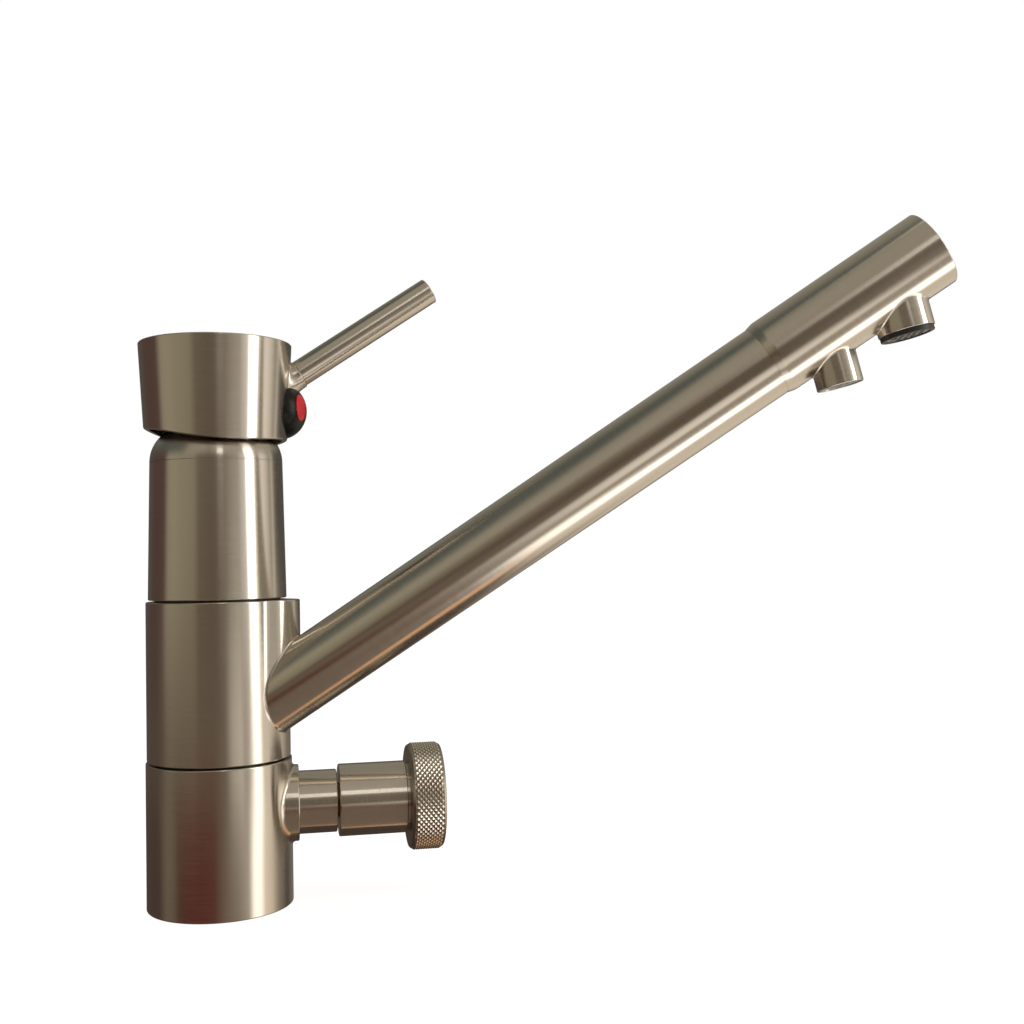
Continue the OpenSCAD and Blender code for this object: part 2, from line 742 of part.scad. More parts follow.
module grub_screw() {
  color(steel) translate([stem_w / 2 + seat_gap, 0, grub_z]) rotate([0, 90, 0]) difference() {
    cylinder(r = grub_r, h = grub_len);
    translate([0, 0, grub_len / 2]) cylinder(r = grub_r / 2, h = grub_len, $fn = 6);
  }
}

// Half a pebble, round about an axis that points to the front, swollen by grow
module plug_shape(grow) {
  arc_steps = 14;
  arc = [for (i = [0:arc_steps]) let (a = 90 * i / arc_steps)
    [(plug_r + grow) * cos(a), (plug_sink + plug_proud + grow) * sin(a)]];
  translate([cap_foot_r - plug_sink, 0, plug_z]) rotate([0, 90, 0]) rotate_extrude()
    polygon(concat([[0, 0]], arc));
}

// The stretch of plug that a mark covers, on one side of the middle
module mark_cut(side) {
  translate([cap_foot_r, 0, plug_z + mark_lift]) rotate([0, 90, side * mark_turn])
    resize([mark_h, mark_w, plug_d]) cylinder(r = mark_w, h = plug_d, $fn = round_facets);
}

module indicator_plug() {
  color(black) union() {
    difference() {
      plug_shape(0);
      cap_cone(-seat_gap, cap_z - plug_d, cap_top_z);
      at_lever(0) cylinder(r = lever_boss_r + seat_gap * 2, h = lever_reach);
      at_lever(lever_shoulder - lever_boss_len)
        cylinder(r1 = lever_boss_r + lever_boss_flare + seat_gap,
          r2 = lever_boss_r + 2 * seat_gap, h = lever_boss_len);
    }
    translate([cap_foot_r - cap_wall, 0, grub_z]) rotate([0, 90, 0])
      cylinder(r = grub_r - seat_gap, h = 2 * cap_wall);
  }
}

// A thin skin of paint let onto the face of the plug
module mark(side) {
  intersection() {
    difference() {
      plug_shape(mark_t / 2);
      plug_shape(seat_gap);
    }
    mark_cut(side);
  }
}

module hot_mark() {
  color("red") mark(-1);
}

module cold_mark() {
  color("blue") mark(1);
}

module valve_housing() {
  shoulder_x = boss_reach + seat_gap;
  color(brass) difference() {
    union() {
      at_valve(seat_x + lip_t) cylinder(r = valve_bore_r - seat_gap, h = shoulder_x - seat_x - lip_t);
      at_valve(shoulder_x - cut) cylinder(r = tail_r, h = housing_end_x - shoulder_x + cut);
      at_valve(shoulder_x) cylinder(r = valve_bore_r + housing_wall / 2, h = housing_wall);
    }
    at_valve(seat_x - cut)
      cylinder(r = housing_in_r, h = spindle_head_x + spindle_head_len - seat_x + cut + seat_gap);
    at_valve(seat_x) cylinder(r = spindle_r + turn_gap, h = housing_end_x);
    at_valve(boss_reach - core_land - core_ring_d)
      ring(valve_bore_r + cut, valve_bore_r - core_ring_d / 2, core_ring_d);
    translate([window_x, 0, valve_z]) rotate([90, 0, 0])
      cylinder(r = filter_r, h = 4 * valve_bore_r, center = true);
    at_valve(waist_x)
      ring(valve_bore_r + cut, valve_bore_r - housing_wall / 2, window_x + filter_r - waist_x);
  }
}

module valve_o_ring() {
  section = core_ring_d / 2 - seat_gap;
  color(rubber) at_valve(boss_reach - core_land - core_ring_d / 2)
    o_ring(valve_bore_r - seat_gap, section);
}

module valve_lip_seal() {
  color(rubber) at_valve(seat_x) ring(valve_disc_r, filter_r, lip_t);
}

// A disc with two holes, which water passes where the holes of both discs meet
module valve_disc(x, turn) {
  color(ceramic) at_valve(x) difference() {
    cylinder(r = valve_disc_r, h = valve_disc_t - seat_gap);
    for (side = [-1, 1]) rotate([0, 0, turn]) translate([0, side * valve_disc_r / 2, -cut])
      cylinder(r = valve_disc_r / 4, h = valve_disc_t + 2 * cut);
  }
}

module valve_fixed_disc() {
  valve_disc(fixed_x, 0);
}

module valve_moving_disc() {
  valve_disc(moving_x, 90);
}

module neck_collar() {
  color(nickel) at_valve(boss_reach + housing_wall + 2 * seat_gap)
    difference() {
      turned(neck_d / 2, neck_len - housing_wall - 2 * seat_gap);
      translate([0, 0, -cut]) cylinder(r = tail_r + seat_gap, h = 2 * neck_len);
    }
  color(nickel) at_valve(boss_reach + seat_gap)
    ring(neck_d / 2, valve_bore_r + housing_wall / 2 + seat_gap, housing_wall + 4 * seat_gap);
}

module spindle_groove_rings(r_out, section, rings) {
  for (i = [0:1]) at_valve(boss_reach - core_land * 2 + i * core_land * 3)
    if (rings) o_ring(r_out, section);
    else translate([0, 0, -section / 2]) ring(r_out + cut, r_out - section, section);
}

// The slot in the head leads from the moving disc's holes to the housing's windows
module valve_spindle() {
  color(brass) difference() {
    union() {
      at_valve(spindle_head_x) cylinder(r = valve_disc_r, h = spindle_head_len);
      at_valve(spindle_head_x) cylinder(r = spindle_r, h = spindle_end_x - spindle_head_x);
    }
    spindle_groove_rings(spindle_r, core_ring_d / 2, false);
    at_valve(spindle_end_x - screw_len - rim_edge) cylinder(r = screw_r + seat_gap, h = sleeve_len);
    translate([spindle_head_x - cut, -filter_r, valve_z - valve_bore_r])
      cube([spindle_head_len / 2 + cut, 2 * filter_r, 2 * valve_bore_r]);
  }
}

module spindle_o_rings() {
  color(rubber) spindle_groove_rings(spindle_r, core_ring_d / 2 - seat_gap, true);
}

module knob_sleeve() {
  color(nickel) difference() {
    union() {
      at_valve(sleeve_x) turned(sleeve_d / 2, sleeve_len - core_land + rim_edge);
      at_valve(sleeve_x) cylinder(r = sleeve_d / 2 - 2 * rim_edge, h = sleeve_len - seat_gap);
      at_valve(sleeve_x) cylinder(r = spigot_r, h = spigot_end_x - sleeve_x);
    }
    at_valve(sleeve_x - cut) cylinder(r = tail_r + pass_gap, h = socket_x - sleeve_x + cut);
    at_valve(sleeve_x) cylinder(r = spindle_r + seat_gap, h = screw_seat_x - sleeve_x);
    at_valve(sleeve_x) cylinder(r = screw_r + seat_gap, h = 2 * sleeve_len);
    at_valve(screw_seat_x + rim_edge * 2)
      cylinder(r = screw_head_r + seat_gap, h = 2 * wheel_w);
  }
}

module knurled_wheel() {
  color(nickel) at_valve(wheel_x) difference() {
    turned(wheel_d / 2, wheel_w, 2 * rim_edge);
    translate([0, 0, -cut]) cylinder(r = spigot_r + seat_gap, h = wheel_w + 2 * cut);
  }
}

module knob_screw() {
  head_x = screw_seat_x + rim_edge * 2 + seat_gap;
  color(steel) difference() {
    union() {
      at_valve(head_x) cylinder(r = screw_head_r, h = screw_head_t);
      at_valve(spindle_end_x - screw_len)
        cylinder(r = screw_r, h = head_x + cut - spindle_end_x + screw_len);
    }
    at_valve(head_x + screw_head_t / 2) cylinder(r = screw_r, h = screw_head_t, $fn = 6);
  }
}

module knob_end_cap() {
  color(nickel) at_valve(spigot_end_x + seat_gap)
    turned(spigot_r - seat_gap, wheel_end_x - spigot_end_x - rim_edge, rim_edge / 2);
}

module spout_hub() {
  color(nickel) difference() {
    translate([0, 0, hub_z]) turned(hub_r, hub_h);
    translate([0, 0, hub_z - cut]) cylinder(r = core_r + turn_gap, h = hub_h + 2 * cut);
    translate([0, 0, hub_z - cut])
      cylinder(r = core_r + glide_w + pass_gap, h = glide_t - hub_gap + cut + turn_gap);
    translate([0, 0, hub_z + hub_h - glide_t + hub_gap - turn_gap])
      cylinder(r = core_r + glide_w + pass_gap, h = glide_t);
    difference() {
      at_spout(0) cylinder(r = spout_r + seat_gap, h = head_start);
      translate([0, 0, hub_z - hub_h]) cylinder(r = seat_r, h = 3 * hub_h);
    }
    rotate([0, 0, spout_swing]) translate([0, 0, mixed_port_z]) rotate([0, 90, 0])
      cylinder(r = mixed_r, h = body_d);
    rotate([0, 0, spout_swing]) translate([0, 0, filter_port_z]) rotate([0, 90, 0])
      cylinder(r = inner_bore_r, h = body_d);
  }
}

module spout_tube() {
  color(nickel) difference() {
    at_spout(0) cylinder(r = spout_r, h = head_start + head_lap);
    at_spout(-cut) cylinder(r = spout_in_r, h = head_start + head_lap + 2 * cut);
    translate([0, 0, hub_z - hub_h]) cylinder(r = seat_r + seat_gap, h = 3 * hub_h);
  }
}

// Lies low in the spout, from the hub's lower port to the elbow in the head
module filtered_water_tube() {
  color(plastic) difference() {
    at_spout(0) translate([inner_drop, 0, 0]) cylinder(d = inner_tube_d, h = inner_end);
    at_spout(0) translate([inner_drop, 0, -cut])
      cylinder(r = inner_bore_r, h = inner_end + 2 * cut);
    translate([0, 0, hub_z - hub_h]) cylinder(r = seat_r + seat_gap, h = 3 * hub_h);
  }
}

module spout_head() {
  color(nickel) difference() {
    union() {
      at_spout(head_start + head_cone) turned(head_r, head_len - head_cone, rim_edge);
      at_spout(head_start)
        cylinder(r1 = spout_r + rim_edge / 4, r2 = head_r, h = head_cone + 2 * rim_edge);
    }
    at_spout(head_start - cut) cylinder(r = spout_r + seat_gap, h = head_lap + cut + seat_gap);
    at_spout(head_start) cylinder(r = head_in_r, h = head_len + cut);
    at_spout(head_end - end_disc_t) cylinder(r = spout_in_r + seat_gap, h = end_disc_t + cut);
    at_outlet(main_s, 0) cylinder(r = main_r - outlet_wall, h = main_reach);
    at_outlet(filter_s, 0) cylinder(r = elbow_r + seat_gap, h = filter_reach);
  }
}

module head_end_disc() {
  color(nickel) at_spout(head_end - end_disc_t + seat_gap)
    turned(spout_in_r, end_disc_t - seat_gap, rim_edge / 2);
}

module filter_elbow() {
  elbow_len = filter_reach - grid_t - 2 * inner_bore_r;
  color(brass) difference() {
    at_outlet(filter_s, 0) cylinder(r = elbow_r, h = elbow_len - seat_gap);
    at_outlet(filter_s, elbow_r / 2) cylinder(r = inner_bore_r, h = filter_reach);
    at_spout(0) translate([inner_drop, 0, 0])
      cylinder(d = inner_tube_d + 2 * seat_gap, h = inner_end + seat_gap);
    at_spout(0) translate([inner_drop, 0, 0]) cylinder(r = inner_bore_r, h = filter_s);
  }
}

module outlet(s, r, reach) {
  color(nickel) difference() {
    at_outlet(s, 0) turned(r, reach, rim_edge / 2);
    at_outlet(s, -cut) cylinder(r = r - outlet_wall, h = reach + 2 * cut);
    at_spout(0) cylinder(r = head_r + seat_gap, h = head_end);
  }
}

module main_outlet() {
  outlet(main_s, main_r, main_reach - aerator_rim);
}

module filtered_outlet() {
  outlet(filter_s, filter_out_r, filter_reach);
}

module aerator_body() {
  in_r = main_r - outlet_wall - seat_gap - aerator_wall;
  color(black) at_outlet(main_s, main_reach - aerator_rim) difference() {
    union() {
      translate([0, 0, seat_gap]) turned(main_r - rim_edge, aerator_rim - seat_gap, rim_edge / 2);
      translate([0, 0, -aerator_h])
        cylinder(r = main_r - outlet_wall - seat_gap, h = aerator_h + rim_edge);
    }
    translate([0, 0, -aerator_h - cut])
      cylinder(r = in_r, h = aerator_h + aerator_rim + 2 * cut);
  }
}

// A round grid of square holes
module grid(r) {
  web = grid_pitch / 5;
  count = floor(r / grid_pitch);
  difference() {
    cylinder(r = r, h = grid_t);
    for (i = [-count:count], j = [-count:count])
      if (norm([i, j]) * grid_pitch < r - grid_pitch)
        translate([i * grid_pitch, j * grid_pitch, 0])
          cube([grid_pitch - web, grid_pitch - web, 3 * grid_t], center = true);
  }
}

module aerator_grid() {
  r = main_r - outlet_wall - aerator_wall - 2 * seat_gap;
  color(steel) at_outlet(main_s, main_reach - grid_t - rim_edge) grid(r);
}

module aerator_washer() {
  color(rubber) at_outlet(main_s, main_reach - aerator_rim - aerator_h - grid_t / 2 - seat_gap)
    ring(main_r - outlet_wall - seat_gap, main_r - outlet_wall - 2 * aerator_wall, grid_t / 2);
}

module filtered_outlet_grid() {
  r = filter_out_r - outlet_wall - seat_gap;
  color(plastic) at_outlet(filter_s, filter_reach - grid_t - rim_edge) grid(r);
}

base_body();
base_gasket();
swivel_core();
core_o_rings();
lower_glide_ring();
upper_glide_ring();
upper_body();
cartridge_base();
cartridge_seals();
cartridge_housing();
fixed_disc();
cartridge_nut();
domed_ring();
moving_disc();
disc_carrier();
stem_holder();
pivot_pin();
cartridge_stem();
handle_cap();
lever_rod();
grub_screw();
indicator_plug();
hot_mark();
cold_mark();
valve_housing();
valve_o_ring();
valve_lip_seal();
valve_fixed_disc();
neck_collar();
valve_moving_disc();
valve_spindle();
spindle_o_rings();
knob_sleeve();
knurled_wheel();
knob_screw();
knob_end_cap();
spout_hub();
spout_tube();
filtered_water_tube();
spout_head();
head_end_disc();
filter_elbow();
main_outlet();
filtered_outlet();
aerator_body();
aerator_grid();
aerator_washer();
filtered_outlet_grid();
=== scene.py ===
import math

import bmesh
import bpy
from mathutils import Euler, Matrix, Vector


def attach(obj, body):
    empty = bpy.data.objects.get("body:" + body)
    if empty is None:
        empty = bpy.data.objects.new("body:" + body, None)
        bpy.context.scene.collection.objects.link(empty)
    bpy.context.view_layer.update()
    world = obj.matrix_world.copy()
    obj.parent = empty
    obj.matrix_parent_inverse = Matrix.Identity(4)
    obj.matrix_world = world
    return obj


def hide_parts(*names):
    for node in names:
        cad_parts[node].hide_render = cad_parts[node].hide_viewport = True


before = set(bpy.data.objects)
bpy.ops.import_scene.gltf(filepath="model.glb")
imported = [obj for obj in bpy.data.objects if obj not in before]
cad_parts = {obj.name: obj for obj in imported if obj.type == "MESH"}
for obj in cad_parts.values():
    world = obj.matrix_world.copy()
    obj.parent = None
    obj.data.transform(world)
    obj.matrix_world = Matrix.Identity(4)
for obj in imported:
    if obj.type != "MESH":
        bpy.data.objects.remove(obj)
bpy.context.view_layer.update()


# Base body
# The foot of the tap: a bar of brass turned to a plain cylinder, with a short boss on its right
# for the filter valve and a recess underneath. Its outside is brushed round and round and then
# plated with matt nickel.
millimetre = 0.001
base_radius, base_height = 25.0, 50.2
recess_radius, recess_depth = 17.0, 12.0
groove_in, groove_out, groove_depth = 19.4, 22.8, 2.4
boss_radius, boss_reach, boss_bore, boss_fillet = 13.3, 27.2, 8.3, 1.1
valve_height = 33.5
inlet_radius, inlet_depth = 4.5, 9
stud_radius, stud_depth = 3.4, 10
thread_start, thread_depth = 0.4, 0.45


def upright(height):
    """A place on the body's own axis."""
    return Matrix.Translation((0, 0, height))


def on_valve(reach):
    """A place on the filter valve's axis, which points to the right."""
    return Matrix.Translation((reach, 0, valve_height)) @ Matrix.Rotation(math.radians(90), 4, "Y")


def add(tree, kind, settings=None, **inputs):
    """One shader node; each input is a value or another node's socket, by its name or as _number."""
    made = tree.nodes.new(kind)
    for key, value in (settings or {}).items():
        setattr(made, key, value)
    for key, value in inputs.items():
        socket = made.inputs[int(key[1:])] if key[1:].isdigit() else made.inputs[key.replace("_", " ")]
        if isinstance(value, bpy.types.NodeSocket):
            tree.links.new(value, socket)
        else:
            socket.default_value = value
    return made


def maths(tree, operation, *values):
    """The result of a Math node."""
    inputs = {f"_{number}": value for number, value in enumerate(values)}
    return add(tree, "ShaderNodeMath", {"operation": operation}, **inputs).outputs[0]


def vector_maths(tree, operation, *values):
    """The result of a Vector Math node: a number for a length, or else a vector."""
    inputs = {f"_{number}": value for number, value in enumerate(values)}
    outputs = add(tree, "ShaderNodeVectorMath", {"operation": operation}, **inputs).outputs
    return outputs["Value" if operation == "LENGTH" else "Vector"]


def empty_material(name):
    """A material with no nodes in it yet."""
    material = bpy.data.materials.new(name)
    material.use_nodes = True
    material.node_tree.nodes.clear()
    return material, material.node_tree


def new_material(name):
    """A material with its output and its Principled shader."""
    material, tree = empty_material(name)
    shader = add(tree, "ShaderNodeBsdfPrincipled")
    add(tree, "ShaderNodeOutputMaterial", Surface=shader.outputs["BSDF"])
    return material, tree, shader


def mixed_colour(tree, share, first, second):
    """One of two colours or the other, by a share."""
    return add(tree, "ShaderNodeMix", {"data_type": "RGBA"}, Factor=share, _6=first, _7=second).outputs[2]


def turning_lines(tree, place, across, along):
    """Noise drawn out into fine lines that run round the axis of a place."""
    coordinates = add(tree, "ShaderNodeTexCoord").outputs["Object"]
    local = add(tree, "ShaderNodeMapping", {"vector_type": "TEXTURE"}, Vector=coordinates,
                Location=place.translation * millimetre, Rotation=place.to_euler())
    x, y, z = add(tree, "ShaderNodeSeparateXYZ", _0=local.outputs[0]).outputs
    radius = vector_maths(tree, "LENGTH", add(tree, "ShaderNodeCombineXYZ", _0=x, _1=y).outputs[0])
    fine = maths(tree, "DIVIDE", maths(tree, "ADD", z, radius), across)
    point = add(tree, "ShaderNodeCombineXYZ", _0=maths(tree, "DIVIDE", x, along),
                _1=maths(tree, "DIVIDE", y, along), _2=fine)
    lines = add(tree, "ShaderNodeTexNoise", Vector=point.outputs[0], Scale=1.0, Detail=3.0, Roughness=0.65)
    return coordinates, lines.outputs[0]


def brushed_metal(name, place, dark, light, roughness, stretch=0.9):
    """Metal that was brushed round the axis of a place."""
    material, tree, shader = new_material(name)
    coordinates, lines = turning_lines(tree, place, across=0.00035, along=0.012)
    cloud = add(tree, "ShaderNodeTexNoise", Vector=coordinates, Scale=38.0, Detail=2.0)
    tone = maths(tree, "ADD", lines, maths(tree, "MULTIPLY_ADD", cloud.outputs[0], 0.35, -0.17))
    colour = mixed_colour(tree, tone, (*dark, 1), (*light, 1))
    tree.links.new(colour, shader.inputs["Base Color"])
    gloss = add(tree, "ShaderNodeMapRange", Value=tone, From_Min=0.25, From_Max=0.75,
                To_Min=roughness * 0.85, To_Max=roughness * 1.15)
    tree.links.new(gloss.outputs[0], shader.inputs["Roughness"])
    shader.inputs["Metallic"].default_value = 1.0
    shader.inputs["Anisotropic"].default_value = stretch
    bump = add(tree, "ShaderNodeBump", Strength=0.05, Distance=0.00005, Height=lines)
    tree.links.new(bump.outputs[0], shader.inputs["Normal"])
    # the highlight stretches across the brush lines
    away = vector_maths(tree, "SUBTRACT", coordinates, place.translation * millimetre)
    around = vector_maths(tree, "CROSS_PRODUCT", place.col[2].to_3d(), away)
    to_world = {"vector_type": "VECTOR", "convert_from": "OBJECT", "convert_to": "WORLD"}
    around = add(tree, "ShaderNodeVectorTransform", to_world, _0=around).outputs[0]
    normal = add(tree, "ShaderNodeNewGeometry").outputs["Normal"]
    tree.links.new(vector_maths(tree, "CROSS_PRODUCT", normal, around), shader.inputs["Tangent"])
    return material


nickel_dark = (0.58, 0.53, 0.46)
nickel_light = (0.66, 0.61, 0.54)


def brushed_nickel(name, place):
    """The tap's plating, brushed round the axis of a place."""
    return brushed_metal(name, place, nickel_dark, nickel_light, 0.21)


def turned(profile, steps=160, closed=True):
    """A mesh spun round its own Z axis from corners (radius, height, rounding)."""
    bm = bmesh.new()
    corners = [bm.verts.new((radius, 0, height)) for radius, height, *_ in profile]
    for here, there in zip(corners, corners[1:]):
        bm.edges.new((here, there))
    if closed:
        bm.edges.new((corners[-1], corners[0]))
    for corner, (_, _, *rounding) in zip(corners, profile):
        if rounding:
            bmesh.ops.bevel(bm, geom=[corner], offset=rounding[0], offset_type="OFFSET", affect="VERTICES",
                            segments=3 if rounding[0] < 1 else 8, profile=0.5, material=-1)
    bmesh.ops.spin(bm, geom=bm.verts[:] + bm.edges[:], cent=(0, 0, 0), axis=(0, 0, 1), dvec=(0, 0, 0),
                   angle=math.radians(360), steps=steps, use_merge=True, use_duplicate=False)
    bmesh.ops.remove_doubles(bm, verts=bm.verts[:], dist=0.0005)
    bmesh.ops.recalc_face_normals(bm, faces=bm.faces[:])
    return bm


def set_down(bm, name, place, material, body, nodes, sharp=50):
    """Puts a mesh made in millimetres in its place, hangs it on its body and hides the CAD pieces it stands
    in for.
    """
    bmesh.ops.transform(bm, matrix=Matrix.Scale(millimetre, 4) @ place, verts=bm.verts[:])
    mesh = bpy.data.meshes.new(name)
    bm.to_mesh(mesh)
    bm.free()
    mesh.shade_smooth()
    mesh.set_sharp_from_angle(angle=math.radians(sharp))
    mesh.materials.append(material)
    piece = bpy.data.objects.new(name, mesh)
    bpy.context.scene.collection.objects.link(piece)
    level = piece.modifiers.new("flat_faces_stay_flat", "WEIGHTED_NORMAL")
    level.keep_sharp = True
    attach(piece, body)
    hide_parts(*nodes)


def grow(bm, edges, move):
    """Extrudes an open rim once and moves each new corner by a rule."""
    made = bmesh.ops.extrude_edge_only(bm, edges=edges)["geom"]
    for corner in (part for part in made if isinstance(part, bmesh.types.BMVert)):
        corner.co = move(corner.co.copy())
    return [part for part in made if isinstance(part, bmesh.types.BMEdge)
            and all(len(v.link_faces) == 2 for v in part.verts) and part.is_boundary]


def outwards(co, radius, height=0.0):
    """The point at a radius and height that lies in another one's direction from the axis."""
    way = Vector((co.x, co.y)).normalized() * radius
    return Vector((way.x, way.y, height))


def grow_ring(bm, edges, radius, height):
    """Extrudes an open rim once, to a radius and a height."""
    return grow(bm, edges, lambda co: outwards(co, radius, height))


def onto_cylinder(radius, tilt):
    """How far along a branch's axis the round wall lies that it grows from."""
    lean, rise = math.sin(math.radians(tilt)), math.cos(math.radians(tilt))

    def reach(a, b):
        return (math.sqrt(radius * radius - b * b) - a * lean) / rise

    return reach


def branch(radius, wall, foot, fillet, rings, bore, steps=128):
    """A pipe that grows out of a round wall with a smooth fillet. rings are (radius, reach), outwards
    and back in."""
    sink, turns = 0.6, 8
    bm = bmesh.new()
    bmesh.ops.create_circle(bm, cap_ends=False, radius=radius + foot, segments=steps)
    for corner in bm.verts:
        corner.co.z = wall(corner.co.x, corner.co.y) - sink
    first = edges = bm.edges[:]

    def onto_wall(co, out, lift):
        spot = outwards(co, out)
        spot.z = wall(spot.x, spot.y) + lift
        return spot

    for i in range(turns + 1):
        t = math.radians(90) * i / turns
        out = radius + foot * (1 - math.sin(t))
        up = fillet * (1 - math.cos(t))
        edges = grow(bm, edges, lambda co: onto_wall(co, out, up))
    for ring_radius, reach in rings:
        edges = grow_ring(bm, edges, ring_radius, reach)
    edges = grow(bm, edges, lambda co: onto_wall(co, bore, -sink))
    bmesh.ops.bridge_loops(bm, edges=edges + first)
    bmesh.ops.recalc_face_normals(bm, faces=bm.faces[:])
    return bm


def rim(radius, reach, rounding, bore):
    """Rings of a rounded outer edge, a flat end face and the way into its bore."""
    bevel = 0.2
    turns = [math.radians(a) for a in (0, 30, 60, 90)]
    outer = [(radius - rounding + rounding * math.cos(t), reach - rounding + rounding * math.sin(t))
             for t in turns]
    return [*outer, (bore + bevel, reach), (bore, reach - bevel)]


nickel_upright = brushed_nickel("brushed_nickel_round_the_body", upright(0))
nickel_valve = brushed_nickel("brushed_nickel_round_the_valve", on_valve(0))

base = turned([(recess_radius, recess_depth), (recess_radius, 0, 0.3), (groove_in, 0, 0.15),
               (groove_in, groove_depth), (groove_out, groove_depth), (groove_out, 0, 0.15),
               (base_radius, 0, 0.4), (base_radius, base_height, 0.4), (0, base_height)], closed=False)

# the inlets for hot, cold and filtered water and the hole of the fixing stud, drilled into the
# recess's roof: x, y, radius and depth; each thread is a row of ridges about a millimetre apart
drilled_holes = ((3, -10.5, inlet_radius, inlet_depth), (3, 10.5, inlet_radius, inlet_depth),
                 (4, 0, inlet_radius, inlet_depth), (-12.4, 0, stud_radius, stud_depth))
roof = [edge for edge in base.edges if edge.is_boundary]
mouths = []
for x, y, radius, depth in drilled_holes:
    made = bmesh.ops.create_circle(base, cap_ends=False, radius=radius, segments=40,
                                   matrix=Matrix.Translation((x, y, recess_depth)))["verts"]
    mouths.append(list({edge for corner in made for edge in corner.link_edges}))
bmesh.ops.triangle_fill(base, edges=roof + [edge for mouth in mouths for edge in mouth], use_beauty=True)
for (x, y, radius, depth), edges in zip(drilled_holes, mouths):
    centre = Vector((x, y, 0))
    for turn in range(2 * depth + 1):
        ring_radius = radius - (thread_depth if turn % 2 else 0.0)
        level = recess_depth + thread_start + turn * (depth - thread_start) / (2 * depth)
        edges = grow(base, edges, lambda co: centre + outwards(co - centre, ring_radius, level))
    bmesh.ops.holes_fill(base, edges=edges, sides=0)
bmesh.ops.recalc_face_normals(base, faces=base.faces[:])

boss = branch(boss_radius, onto_cylinder(base_radius, 0), boss_fillet, boss_fillet,
              rim(boss_radius, boss_reach, 0.4, boss_bore), boss_bore, steps=160)
set_down(base, "tap_base", upright(0), nickel_upright, "tap_body", ["base_body"])
set_down(boss, "valve_boss", on_valve(0), nickel_valve, "tap_body", ["base_body"])


# Base gasket
# A flat ring of black rubber in the groove under the foot, which seals the base on the worktop.
# The soft seals inside the tap are of the same rubber.
def moulded(name, dark, light, roughness, grain, lift, **sockets):
    """Rubber, plastic, ceramic, paint or fine steel with an even grain."""
    material, tree, shader = new_material(name)
    coordinates = add(tree, "ShaderNodeTexCoord").outputs["Object"]
    fine = add(tree, "ShaderNodeTexNoise", Vector=coordinates, Scale=grain, Detail=4.0)
    broad = add(tree, "ShaderNodeTexNoise", Vector=coordinates, Scale=grain / 30, Detail=2.0)
    colour = mixed_colour(tree, broad.outputs[0], (*dark, 1), (*light, 1))
    tree.links.new(colour, shader.inputs["Base Color"])
    gloss = add(tree, "ShaderNodeMapRange", Value=fine.outputs[0], From_Min=0.3, From_Max=0.7,
                To_Min=roughness * 0.8, To_Max=roughness * 1.2)
    tree.links.new(gloss.outputs[0], shader.inputs["Roughness"])
    bump = add(tree, "ShaderNodeBump", Strength=lift, Distance=0.00005, Height=fine.outputs[0])
    tree.links.new(bump.outputs[0], shader.inputs["Normal"])
    for socket, value in sockets.items():
        shader.inputs[socket.replace("_", " ")].default_value = value
    return material


def finish_nodes(names, material):
    """Gives a material to pieces that stay as the CAD made them."""
    for name in names:
        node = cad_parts[name]
        node.data.materials.clear()
        node.data.materials.append(material)


rubber = moulded("black_rubber", (0.012, 0.012, 0.012), (0.03, 0.03, 0.03), 0.6, 2500, 0.2)
finish_nodes(["base_gasket", "core_o_rings", "cartridge_seals", "valve_o_ring", "valve_lip_seal",
              "spindle_o_rings", "aerator_washer"], rubber)


# Swivel core and glide rings
# A brass core is screwed into the base and carries the spout's hub. Black glide rings take the
# wear at both ends of the hub, and their edges show as the dark joints above and below it.
brass_dark, brass_light = (0.60, 0.40, 0.15), (0.78, 0.56, 0.26)
brass = brushed_metal("turned_brass", upright(0), brass_dark, brass_light, 0.3, 0.6)
finish_nodes(["swivel_core", "cartridge_nut", "filter_elbow"], brass)
black_plastic = moulded("black_plastic", (0.010, 0.010, 0.011), (0.022, 0.021, 0.020), 0.42, 1800, 0.12)
finish_nodes(["lower_glide_ring", "upper_glide_ring"], black_plastic)


# Spout hub
# A cast brass sleeve that turns on the core, with a rounded nose that stands out over the
# spout's root. It is turned and brushed outside, and the nose is dressed smooth by hand.
hub_radius, hub_bore = 24.6, 19.05
hub_foot, hub_height = 50.8, 54.9
spout_swing, spout_rise, cross_height = -19.0, 32.8, 59.1
nose_radius, nose_middle, nose_blend = 12.4, 16.8, 1.6
nose_start, nose_runout, nose_half_turn = 66, 12, 1.2
hub_top = hub_foot + hub_height


def on_spout(reach):
    """A place on the spout's axis, at a distance from the body's axis."""
    return (Matrix.Rotation(math.radians(spout_swing), 4, "Z") @ Matrix.Translation((0, 0, cross_height))
            @ Matrix.Rotation(math.radians(90 - spout_rise), 4, "Y") @ Matrix.Translation((0, 0, reach)))


def hub_outside(turn, height):
    """Distance of the hub's outside from the axis; turn is measured from the spout, in radians."""
    turn = (turn + math.pi) % math.tau - math.pi
    side = nose_middle * math.sin(turn)
    if abs(turn) > nose_half_turn or abs(side) > nose_radius:
        return hub_radius
    nose = nose_middle * math.cos(turn) + math.sqrt(nose_radius ** 2 - side * side)
    both = max(hub_radius, nose) + max(0, nose_blend - abs(hub_radius - nose)) ** 2 / (4 * nose_blend)
    share = min(1, max(0, (height - nose_start) / nose_runout))
    return hub_radius + (both - hub_radius) * share * share * (3 - 2 * share)


